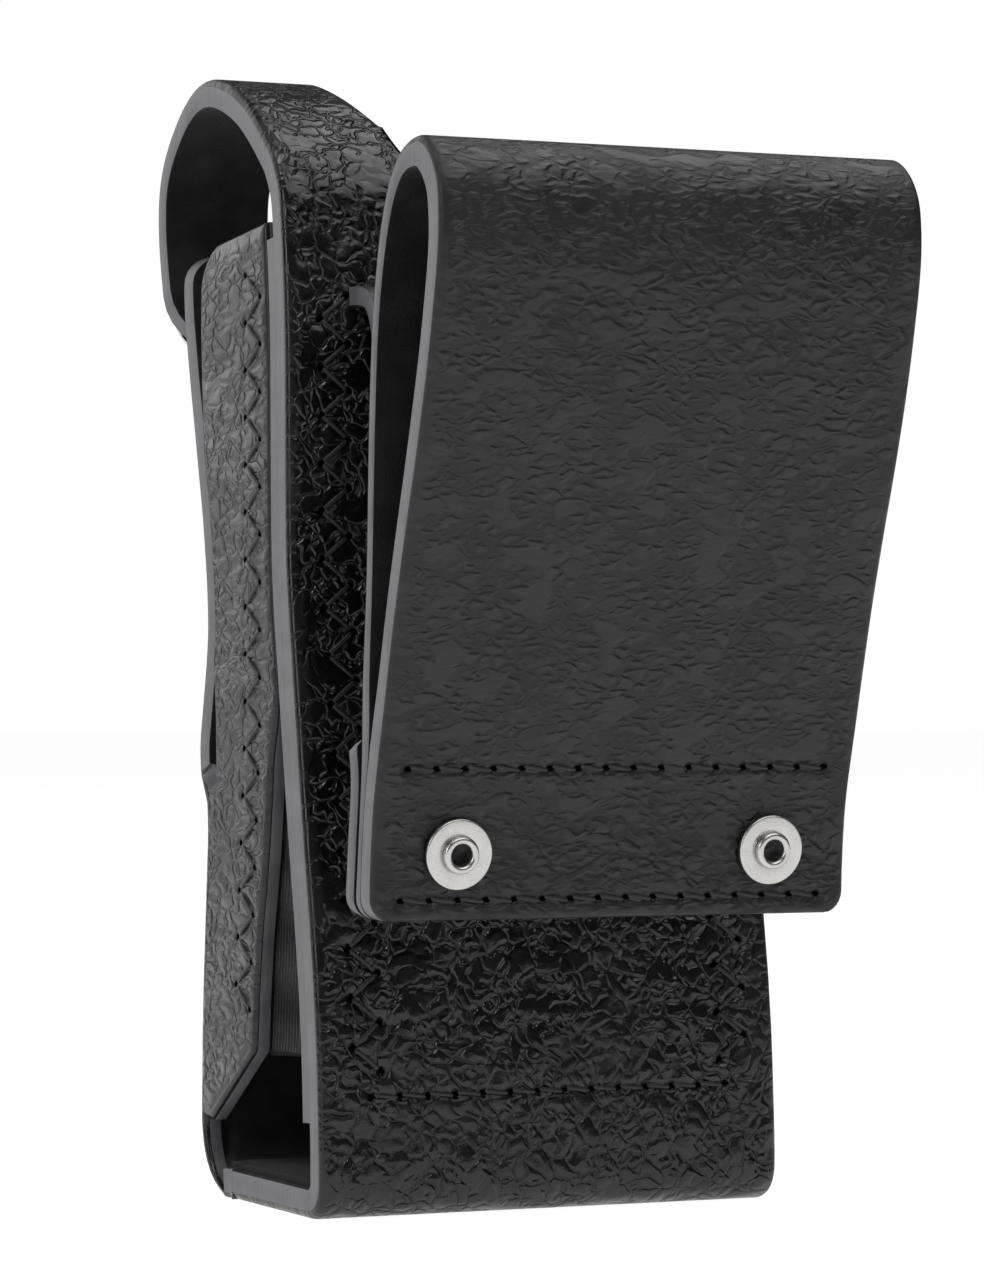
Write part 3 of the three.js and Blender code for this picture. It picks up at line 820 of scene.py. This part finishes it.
def reach_at(outline, z):
    """How far back and forward an outline reaches at height z."""
    hits = []
    for a, b in zip(outline, np.roll(outline, -1, axis=0)):
        if (a[1] - z) * (b[1] - z) < 0:
            hits.append(a[0] + (b[0] - a[0]) * (z - a[1]) / (b[1] - a[1]))
    return min(hits), max(hits)


def wing_limits(outline):
    """Heights up the side wall, and how far back and forward it reaches at each."""
    inset = 0.2 * MM
    heights = np.linspace(outline[:, 1].min() + inset, outline[:, 1].max() - inset, 300)
    return (heights, *np.array([reach_at(outline, z) for z in heights]).T)


WALL_STRETCH = 0.58                  # the side walls' grain runs longer from back to front


def smoothstep(t):
    t = np.clip(t, 0, 1)
    return t * t * (3 - 2 * t)


def lining_face():
    """The lining's inner face near the side, from the foot up, as (y, z)."""
    inner = max(long_sides("back_liner", -HALF_WIDTH + 4 * MM), key=lambda run: run[:, 0].mean())
    inner = toward(inner, 0, 0.15)
    onward = inner[-1] - inner[-2]
    return np.vstack([inner, inner[-1] + onward / np.linalg.norm(onward) * 5 * MM])


FLAP_CORNER = 4 * MM                 # rounding of the front panel's upper corners
WALL_CORNER = 8 * MM                 # rounding of the side walls' upper front corner
WALL_SPLIT = 118 * MM                # above this height the side walls' rows fan out
WALL_OVERLAP = 0.05 * MM             # how far the side walls reach into the lining


def front_face(down, rows):
    """The front panel's points, its UVs and its thickness, bent round towards the side walls."""
    y, z = down.at(rows).T[..., None]
    arc = CORNER_RADIUS * math.pi / 2
    flat_half = HALF_WIDTH - CORNER_RADIUS
    middle = spread(-flat_half, flat_half)
    bend = with_fine_ends(spread(0, arc), at_start=False)[1:] / arc
    ones = np.ones(len(bend))
    flat = np.concatenate([-flat_half * ones, middle, flat_half * ones])
    side = np.concatenate([-ones, 0 * middle, ones])
    bend = np.concatenate([bend[::-1], 0 * middle, bend])

    joined = smoothstep((SLIT_BOTTOM + 4 * MM - z) / (5 * MM)) * smoothstep((y - 11 * MM) / (7 * MM))
    wide = HALF_WIDTH + (FLAP_HALF_WIDTH - HALF_WIDTH) * smoothstep((z - SLIT_BOTTOM) / (4 * MM))
    wide = wide - corner_trim(rows, FLAP_CORNER)[:, None]
    curved_x = flat_half + CORNER_RADIUS * np.sin(bend * math.pi / 2)
    flat_x = flat_half + bend * (wide - flat_half)
    narrow = np.minimum(wide, flat_half) / flat_half
    px = np.where(side == 0, flat * narrow, side * (flat_x + (curved_x - flat_x) * joined))
    py = y - CORNER_RADIUS * (1 - np.cos(bend * math.pi / 2)) * joined
    pz = np.broadcast_to(z, px.shape)
    uv = np.stack(np.broadcast_arrays(flat + side * arc * bend, -rows[:, None]), -1)
    thickness = FRONT_THICKNESS - (FRONT_THICKNESS - WING_THICKNESS) * smoothstep(bend) * joined
    return np.stack([px, py, pz], -1), uv, thickness


def side_wall(face, rows):
    """A side wall's (y, z) points: rows at the front panel's own heights while joined to it."""
    outline = section("left_wing", -HALF_WIDTH + 1.1 * MM)
    heights, rear, front = wing_limits(outline)
    z = face[:, 0, 2]
    use = (z < WALL_SPLIT) & (z > heights[0] + 0.8 * MM) & (rows > 20 * MM)
    z = z[use]
    share = with_fine_ends(spread(0, 20 * MM)) / (20 * MM)
    joined_edge = face[use, -1, 1]
    edge = np.interp(z, heights, front) - joined_edge
    edge = joined_edge + edge * smoothstep((z - SLIT_BOTTOM) / (3 * MM))
    lining = lining_face()
    meets = np.interp(z, lining[:, 1], lining[:, 0]) + WALL_OVERLAP
    back = np.interp(z, heights, rear)
    back += (np.minimum(back, meets) - back) * smoothstep((z - 60 * MM) / (16 * MM))
    wy = edge[:, None] + (back - edge)[:, None] * share[None, :]
    wz = np.broadcast_to(z[:, None], wy.shape)

    # Above, the rows fan out to the rounded top edge.
    top_rear = outline[np.argmax(outline[:, 1] - 0.2 * outline[:, 0])]
    top_y = float(np.interp(126 * MM, heights, front))
    top_z = top_rear[1] - 1.4 * MM
    curve = [[top_y - WALL_CORNER * (1 - math.cos(a)), top_z - WALL_CORNER * (1 - math.sin(a))]
             for a in np.linspace(0, math.pi / 2, 8)]
    curve.append([float(np.interp(top_rear[1], lining[:, 1], lining[:, 0])) + WALL_OVERLAP, top_rear[1]])
    cap = along_curve(np.array(curve), share)
    lift = 1 - with_fine_ends(spread(0, 16 * MM), at_end=False)[:-1, None] / (16 * MM)
    wy = np.vstack([wy[0] * (1 - lift) + cap[:, 0] * lift, wy])
    wz = np.vstack([wz[0] * (1 - lift) + cap[:, 1] * lift, wz])
    return wy, wz


def build_front():
    down = Profile(SHELL.at(np.linspace(0, UNDER_SEAM + SEAM_OVERLAP, 900)), 0)
    rows_top = FLAP_CORNER * (1 - np.cos(np.linspace(0.12, math.pi / 2, 7)))
    rows = np.concatenate([rows_top, spread(FLAP_CORNER + STEP, down.length)])
    face, uv, thickness = front_face(down, rows)
    panels = [(face, uv, thickness)]
    wy, wz = side_wall(face, rows)
    across = uv[0, -1, 0] + (wy[:, :1] - wy) * WALL_STRETCH
    for side in (-1, 1):
        points = np.stack([np.full(wy.shape, side * HALF_WIDTH), wy, wz], -1)
        wall_uv = np.stack([side * across, wz - 0.2], -1)
        panels.append((points[:, ::side], wall_uv[:, ::side], WING_THICKNESS))
    piece = join_grids("pouch_front", panels)
    return finish_leather(piece, (PEBBLE_FRONT, SUEDE, EDGE), face_radius=0.8 * MM,
                          seams=(shell_seam(UNDER_SEAM),))


# ---- belt loop and its tab


LOOP_CORNER = 3 * MM


def build_loop():
    sides = long_sides("belt_loop", MID)
    profile = Profile(toward(max(sides, key=path_length), -0.03, 0.04))
    inside = Profile(min(sides, key=path_length)).points
    middle = 0.5 * profile.length
    rows = np.concatenate([rounded_rows(middle, 0, LOOP_CORNER)[::-1],
                           rounded_rows(middle, profile.length, LOOP_CORNER)[1:]])
    half = LOOP_HALF_WIDTH - corner_trim(np.minimum(rows, profile.length - rows), LOOP_CORNER)
    places = strip_places(rows, -LOOP_HALF_WIDTH, LOOP_HALF_WIDTH, half)
    thickness = np.array([np.linalg.norm(inside - p, axis=1).min() for p in profile.at(rows)])
    thickness = np.convolve(np.pad(thickness, 4, mode="edge"), np.ones(9) / 9, mode="valid")
    piece = join_grids("belt_loop_leather", [lay(profile, *places, thickness[:, None] + 0.12 * MM)])
    return finish_leather(piece, (LOOP_GRAIN, SUEDE, EDGE), face_radius=0.9 * MM,
                          back_radius=0.05 * MM), profile


TAB_THICKNESS = 2.85 * MM
NECK_RAISE = 1.5 * MM                # the neck stands this much above its CAD solid


def build_hanger():
    """The tab from its sewn end inside, out through the slot and down to the rivets."""
    inner = max(long_sides("hanger_tab", MID), key=lambda run: run[:, 0].min())
    inner = toward(inner, -0.035, 0.04)
    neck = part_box("hanger_anchor")[1]
    profile = Profile(np.vstack([[[neck[1] - 1 * MM, inner[0][1]]], inner]))
    rows = rounded_rows(0, profile.length, LOOP_CORNER)
    height = profile.at(rows)[:, 1]
    flare = np.where(rows < 30 * MM, 0, smoothstep((69 * MM - height) / (6 * MM)))
    half = neck[0] + (LOOP_HALF_WIDTH - neck[0]) * flare
    half -= corner_trim(profile.length - rows, LOOP_CORNER)
    places = strip_places(rows, -LOOP_HALF_WIDTH, LOOP_HALF_WIDTH, half)
    grid = lay(profile, *places, TAB_THICKNESS)
    grid[0][..., 2] += NECK_RAISE * smoothstep((grid[0][..., 2] - 108 * MM) / (8 * MM))
    return finish_leather(join_grids("hanger_strap", [grid]), (TAB_GRAIN, TAB_GRAIN, EDGE),
                          face_radius=0.3 * MM, back_radius=0.05 * MM)


# ---- linings and elastic

LINING_THICKNESS = 2.7 * MM
LINING_OVERLAP = 0.7 * MM            # how far the lining reaches into the back panel


def build_back_lining():
    rear = min(long_sides("back_liner", -HALF_WIDTH + 4 * MM), key=lambda run: run[:, 0].mean())
    profile = Profile(toward(rear, 0, 0.15))
    rows = spread(0, profile.length, 1.5 * MM)[:, None]
    side = HALF_WIDTH - 0.05 * MM
    grid = lay(profile, spread(-side, side, 1.5 * MM), rows, LINING_THICKNESS + LINING_OVERLAP)
    grid[0][..., 1:] += LINING_OVERLAP * profile.outward(rows)
    return finish_leather(join_grids("back_lining", [grid]), (SUEDE, LINING, EDGE),
                          face_radius=0.04 * MM, back_radius=0.5 * MM)


def build_bottom_lining():
    low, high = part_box("bottom_liner")
    xs = spread(low[0], high[0], 1.5 * MM)
    ys = spread(low[1], high[1], 1.5 * MM)
    y, x = np.meshgrid(ys, xs, indexing="ij")
    under = np.linspace(UNDER_SEAM - 8 * MM, BACK_START, 200)
    inside = SHELL.at(under) - BACK_THICKNESS * SHELL.outward(under)
    level = inside[np.argsort(inside[:, 0])]
    z = np.interp(y, level[:, 0], level[:, 1]) + 1.3 * MM
    z += 0.15 * MM * np.sin(x * 90) * np.sin(y * 160)
    piece = join_grids("bottom_lining", [(np.stack([x, y, z], -1), np.stack([x, y], -1), 1.4 * MM)])
    return finish_leather(piece, (LINING, SUEDE, LINING), face_radius=0.3 * MM)


def build_elastic(side, node):
    """Woven elastic with upright ribs between a side wall and the back lining.
    Gives the piece, its flat width and length, and its flat area."""
    outline = section(node, side * (HALF_WIDTH - WING_THICKNESS - 0.9 * MM))
    low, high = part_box(node)
    face = high[0] if side > 0 else low[0]
    rows = spread(low[2] + 0.1 * MM, high[2] - 0.1 * MM, 1.2 * MM)
    limits = np.array([reach_at(outline, z) for z in rows])
    y = np.linspace(limits[:, 0], limits[:, 1], 150, axis=1)
    wave = 0.16 * MM * np.cos(2 * math.pi * (y - limits[:, 1:]) / (RIB * MM))
    z = np.broadcast_to(rows[:, None], y.shape)
    points = np.stack([face - side * (0.18 * MM + wave), y, z], -1)
    uv = np.stack([y, z], -1)
    piece = join_grids(node + "_web", [(points[:, ::side], uv[:, ::side], 0.9 * MM)])
    piece.data.materials.append(ELASTIC)
    solid = piece.modifiers.new("thickness", "SOLIDIFY")
    solid.thickness = 0.8 * MM
    solid.offset = -1
    half = len(piece.data.vertices)
    bake_modifiers(piece)
    for i in range(half):
        ribbed = piece.data.vertices[i].co
        piece.data.vertices[half + i].co = (face - side * 0.95 * MM, ribbed.y, ribbed.z)
    piece.data.shade_smooth()
    piece.data.set_sharp_from_angle(angle=SHARP_ANGLE)
    widths = limits[:, 1] - limits[:, 0]
    length = float(rows[-1] - rows[0])
    return piece, (float(widths.max()), length), float(widths.mean()) * length


# ---- stitching

def stitch_tube(start, end, normal, radius, rise, sink, sides=8, steps=9):
    """One stitch: a thread that comes up at start, lies on the leather and goes down at end."""
    run = end - start
    tangent = run / np.linalg.norm(run)
    beside = np.cross(normal, tangent)
    beside /= np.linalg.norm(beside)
    t = np.linspace(0, 1, steps + 1)[:, None]
    height = -sink + (sink + rise) * np.abs(np.sin(math.pi * t)) ** 0.45
    middle = start + run * t + normal * height
    upward = normal - tangent * np.cos(math.pi * t) * 0.6
    upward /= np.linalg.norm(upward, axis=1, keepdims=True)
    turn = np.arange(sides)[:, None] * 2 * math.pi / sides
    ring = np.cos(turn) * beside + np.sin(turn) * upward[:, None]
    index = np.arange(sides * (steps + 1)).reshape(steps + 1, sides)
    onward = np.roll(index, -1, axis=1)
    quads = np.stack([index[:-1], onward[:-1], onward[1:], index[1:]], -1).reshape(-1, 4)
    return (middle[:, None] + radius * ring).reshape(-1, 3), [*quads, index[0, ::-1], index[-1]]


def hole_shade_disc(place, normal, beside, radius, sides=12):
    """A flat oval just over the leather, painted as the shade inside a needle hole."""
    across = np.cross(normal, beside)
    lift = place + normal * 0.035 * MM
    turns = np.linspace(0, 2 * math.pi, sides, endpoint=False)
    return [lift + radius * (1.25 * math.cos(a) * beside + 0.85 * math.sin(a) * across) for a in turns]


def seam(name, holes, normals, radius=0.33 * MM, rise=0.02 * MM, sink=0.55 * MM, slant=0.0):
    """A run of stitches from hole to hole, each slanted a little, with a disc of painted shade at each
    hole.
    """
    vertices = []
    faces = []

    def take(part, part_faces):
        faces.extend([[v + len(vertices) for v in f] for f in part_faces])
        vertices.extend(part)

    holes = np.array(holes, float)
    normals = np.array(normals, float)
    normals /= np.linalg.norm(normals, axis=1, keepdims=True)
    for a, b, normal in zip(holes, holes[1:], normals[:-1] + normals[1:]):
        normal = normal / np.linalg.norm(normal)
        run = (b - a) / np.linalg.norm(b - a)
        inset = np.cross(normal, run) * slant + run * 0.1 * MM
        take(*stitch_tube(a + inset, b - inset, normal, radius, rise, sink))
    threads = len(faces)
    for place, normal, other in zip(holes, normals, [*holes[1:], holes[-2]]):
        beside = other - place
        beside -= normal * beside.dot(normal)
        disc = hole_shade_disc(place, normal, beside / np.linalg.norm(beside), 0.42 * MM)
        take(disc, [range(len(disc))])
    piece = new_object(name, vertices, faces)
    piece.data.materials.append(THREAD)
    piece.data.materials.append(HOLE_SHADE)
    piece.data.shade_smooth()
    # painted shade: the hole discs are near black and flat shaded
    for face in piece.data.polygons[threads:]:
        face.material_index = 1
        face.use_smooth = False
    return piece


def profile_point(profile, s, x):
    """The place and outward direction on a profile's face, at distance s and across place x."""
    return (x, *profile.at(s)), (0, *profile.outward(s))


def shell_point(x, z):
    """The place and outward direction on the back panel at (x, height z), in millimetres."""
    return profile_point(SHELL, shell_height(z * MM, BACK_START), x * MM)


def stitch(name, body, node, holes, **shape):
    """A seam through holes, each a place and a direction, in place of a CAD node."""
    stand_for(seam(name, *zip(*holes), **shape), body, "thread", node)


def zigzag_rows():
    """The zigzag threads, whose holes the leather's own material repeats."""
    for side, name in ((-1, "left"), (1, "right")):
        holes = []
        for i in range(BACK_SEAM["steps"] + 1):
            x = BACK_SEAM["x"] + BACK_SEAM["swing"] * (1 if i % 2 else -1)
            holes.append(shell_point(side * x, BACK_SEAM["low"] + i * ZIGZAG_STEP))
        stitch(f"{name}_back_thread", "case", f"{name}_back_zigzag", holes)
        holes = []
        for i in range(WING_SEAM["steps"] + 1):
            z = WING_SEAM["low"] + i * ZIGZAG_STEP
            middle = WING_SEAM["y"] + max(0, WING_SEAM["knee"] - z) * WING_SEAM["lean"]
            y = middle + WING_SEAM["swing"] * (1 if i % 2 else -1)
            holes.append(((side * HALF_WIDTH, y * MM, z * MM), (side, 0, 0)))
        stitch(f"{name}_wing_thread", "case", f"{name}_wing_zigzag", holes)


def straight_rows(loop_profile):
    xs = -LINING_SEAM["x"] + STRAIGHT_STEP * np.arange(LINING_SEAM["steps"] + 1)
    stitch("lining_thread", "case", "liner_bottom_stitch",
           [shell_point(x, LINING_SEAM["z"]) for x in xs], slant=0.22 * MM)
    xs = np.arange(-LOOP_SEAM_HALF, LOOP_SEAM_HALF + 0.1, STRAIGHT_STEP)
    for row, level in LOOP_SEAMS.items():
        s = loop_profile.where(lambda y, z: z > level * MM)
        stitch(f"loop_thread_{row}", "belt_hanger", f"loop_stitch_{row}",
               [profile_point(loop_profile, s, x * MM) for x in xs], slant=0.28 * MM)


# ---- metal

def lathe(name, profile, place, direction, segments=96):
    """A turned metal piece: (radius, height) points about a line through place."""
    r, h = np.array(profile).T
    a = np.linspace(0, 2 * math.pi, segments, endpoint=False)[:, None]
    turn = np.array(Vector((0, 0, 1)).rotation_difference(Vector(direction)).to_matrix())
    local = np.stack([r * np.cos(a), r * np.sin(a), np.broadcast_to(h, (segments, len(h)))], -1)
    vertices = (local @ turn.T + np.array(place)).reshape(-1, 3)
    index = np.arange(len(vertices)).reshape(segments, -1)
    onward = np.roll(index, -1, axis=0)
    faces = np.stack([index[:, :-1], onward[:, :-1], onward[:, 1:], index[:, 1:]], -1)
    piece = new_object(name, vertices, faces.reshape(-1, 4))
    weld(piece, 1e-6, recalculate=True)
    piece.data.materials.append(NICKEL)
    piece.data.shade_smooth()
    return piece


def rounded_ring(inner, outer, low, high, radius, steps=4):
    """The closed outline of a flat ring with rounded edges."""
    points = []
    for cx, cy, start in ((outer - radius, low + radius, -90), (outer - radius, high - radius, 0),
                          (inner + radius, high - radius, 90), (inner + radius, low + radius, 180)):
        for k in range(steps + 1):
            a = math.radians(start + 90 * k / steps)
            points.append((cx + radius * math.cos(a), cy + radius * math.sin(a)))
    points.append(points[0])
    return points


def rivet_outline(front, rear):
    """A tube whose two ends are rolled outwards over the washers."""
    bore, shank, roll = 1.45 * MM, 1.95 * MM, 0.55 * MM
    centre = shank + 0.05 * MM

    def rolled(start, height):
        angles = np.radians(start - np.linspace(0, 250, 11))
        return [(centre + roll * math.cos(a), height + roll * math.sin(a)) for a in angles]

    points = [*rolled(180, front - roll), (shank, front - 2.2 * roll), (shank, rear + 2.2 * roll),
              *rolled(70, rear + roll), (bore, rear + 1.4 * roll), (bore, front - 1.4 * roll)]
    return points + points[:1]


def middle_of(node):
    low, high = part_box(node)
    return (Vector(low) + Vector(high)) / 2


WASHER = {"inner": 2.15 * MM, "outer": 4.75 * MM, "half": 0.4 * MM, "edge": 0.28 * MM}
RIVET_PROUD = 1.0 * MM               # how far a rivet's rolled end stands over its washer


def build_rivets():
    half = WASHER["half"]
    for name in ("left", "right"):
        front = middle_of(f"{name}_front_washer")
        rear = middle_of(f"{name}_rear_washer")
        axis = (front - rear).normalized()
        reach = (front - rear).length / 2
        centre = (front + rear) / 2
        for end, sign in (("front", 1), ("rear", -1)):
            ring = rounded_ring(WASHER["inner"], WASHER["outer"], -half, half, WASHER["edge"])
            piece = lathe(f"{name}_{end}_washer_ring", ring, centre + axis * reach * sign, axis)
            stand_for(piece, "belt_hanger", "nickel", f"{name}_{end}_washer")
        end = reach + half + RIVET_PROUD
        piece = lathe(f"{name}_tubular_rivet", rivet_outline(end, -end), centre, axis)
        stand_for(piece, "belt_hanger", "nickel", f"{name}_rivet")


# ---- everything together

def stand_for(piece, body, slot, *nodes):
    """The piece moves with a body and shows in place of CAD nodes; the slot is not used."""
    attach(piece, body)
    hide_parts(*nodes)


def cross_joint(piece, bodies, start, end, slot, *nodes):
    """For leather between two bodies: bakes its place into its mesh and shows it in place of CAD nodes.
    The bodies, start and end are not used.
    """
    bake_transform(piece)
    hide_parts(*nodes)

cross_joint(build_back(), ("case", "strap"), (0, -0.006, 0.1415), (0, -0.006, 0.153),
            "pebbled_leather", "back_panel", "bottom_strip", "retaining_strap")
cross_joint(build_strap_front(), ("strap", "strap_end"), (0, 0.039, 0.150), (0, 0.039, 0.140),
            "pebbled_leather", "strap_tip")
stand_for(build_front(), "case", "pebbled_leather", "front_panel", "left_wing", "right_wing")
stand_for(build_back_lining(), "case", "lining", "back_liner")
stand_for(build_bottom_lining(), "case", "lining", "bottom_liner")
for side, node in ((-1, "left_elastic"), (1, "right_elastic")):
    web, flat_size, flat_area = build_elastic(side, node)
    stand_for(web, "case", "elastic", node)
loop, loop_profile = build_loop()
stand_for(loop, "belt_hanger", "loop_leather", "belt_loop")
cross_joint(build_hanger(), ("case", "belt_hanger"), (0, -0.0125, 0.1235), (0, -0.0205, 0.117),
            "loop_leather", "hanger_tab", "hanger_anchor")
zigzag_rows()
straight_rows(loop_profile)
build_rivets()

for node in ("snap_stud", "snap_stud_washer", "snap_cap", "snap_socket"):
    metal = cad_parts[node]
    metal.data.materials.clear()
    metal.data.materials.append(NICKEL)

# ---- floor, light and camera

FLOOR_GLOW, FLOOR_SHOWN, WORLD_GLOW = 0.86, 0.96, 0.07


def two_levels(tree, unseen, seen, socket):
    """One strength for what lights the case, and another for what shows behind it."""
    path = tree.nodes.new("ShaderNodeLightPath")
    level = tree.nodes.new("ShaderNodeMapRange")
    level.inputs["To Min"].default_value = unseen
    level.inputs["To Max"].default_value = seen
    tree.links.new(path.outputs["Is Camera Ray"], level.inputs["Value"])
    tree.links.new(level.outputs["Result"], socket)


def build_stage():
    """A white floor and a white surround, which light the case mostly from below."""
    look = Nodes("backdrop")
    look.shade(Base_Color=(0.3, 0.3, 0.3, 1), Roughness=1.0, Specular_IOR_Level=0.0,
               Emission_Color=(1, 1, 1, 1))
    two_levels(look.tree, FLOOR_GLOW, FLOOR_SHOWN, look.shader.inputs["Emission Strength"])
    mesh = bpy.data.meshes.new("floor")
    mesh.from_pydata([(-8, -8, 0), (8, -8, 0), (8, 8, 0), (-8, 8, 0)], [], [(0, 1, 2, 3)])
    floor = bpy.data.objects.new("floor", mesh)
    mesh.materials.append(look.material)
    bpy.context.scene.collection.objects.link(floor)
    world = bpy.data.worlds.new("studio")
    bpy.context.scene.world = world
    world.use_nodes = True
    tree = world.node_tree
    two_levels(tree, WORLD_GLOW, 1.0, tree.nodes["Background"].inputs["Strength"])
    tree.nodes["Background"].inputs["Color"].default_value = (1, 1, 1, 1)
    bpy.context.scene.view_settings.view_transform = "Standard"


def softbox(name, place, target, width, height, power):
    data = bpy.data.lights.new(name, "AREA")
    data.shape = "RECTANGLE"
    data.size = width
    data.size_y = height
    data.energy = power
    lamp = bpy.data.objects.new(name, data)
    lamp.location = place
    aim = Vector(target) - Vector(place)
    lamp.rotation_euler = aim.to_track_quat("-Z", "Y").to_euler()
    bpy.context.scene.collection.objects.link(lamp)


CAMERA_PLACE = (-0.27585, -0.60860, 0.0705)
CAMERA_TURN, CAMERA_TILT = 24.5, 0.69
LENS = 132.55


def build_camera():
    """A long lens at the height of the belt loop's middle, seeing the back and the left side."""
    data = bpy.data.cameras.new("camera")
    data.sensor_width = 36
    data.lens = LENS
    data.clip_start = 0.05
    data.clip_end = 30
    camera = bpy.data.objects.new("camera", data)
    camera.location = CAMERA_PLACE
    camera.rotation_euler = (math.radians(90 + CAMERA_TILT), 0, math.radians(-CAMERA_TURN))
    bpy.context.scene.collection.objects.link(camera)
    bpy.context.scene.camera = camera


build_stage()
softbox("top_softbox", (0.2, -0.65, 1.1), (0, 0, 0.12), 1.2, 0.9, 6)
softbox("key_softbox", (-0.45, -0.1, 0.9), (0, 0, 0.1), 0.22, 0.22, 1.6)
softbox("rear_left_panel", (-1.0, 1.6, 1.0), (-0.03, 0, 0.08), 2.4, 1.8, 18)
softbox("over_softbox", (0.42, 0.15, 1.1), (0, 0, 0.12), 0.8, 0.8, 3.8)
softbox("left_softbox", (-1.2, -0.45, 0.5), (0, 0, 0.08), 0.35, 0.6, 2.5)
build_camera()
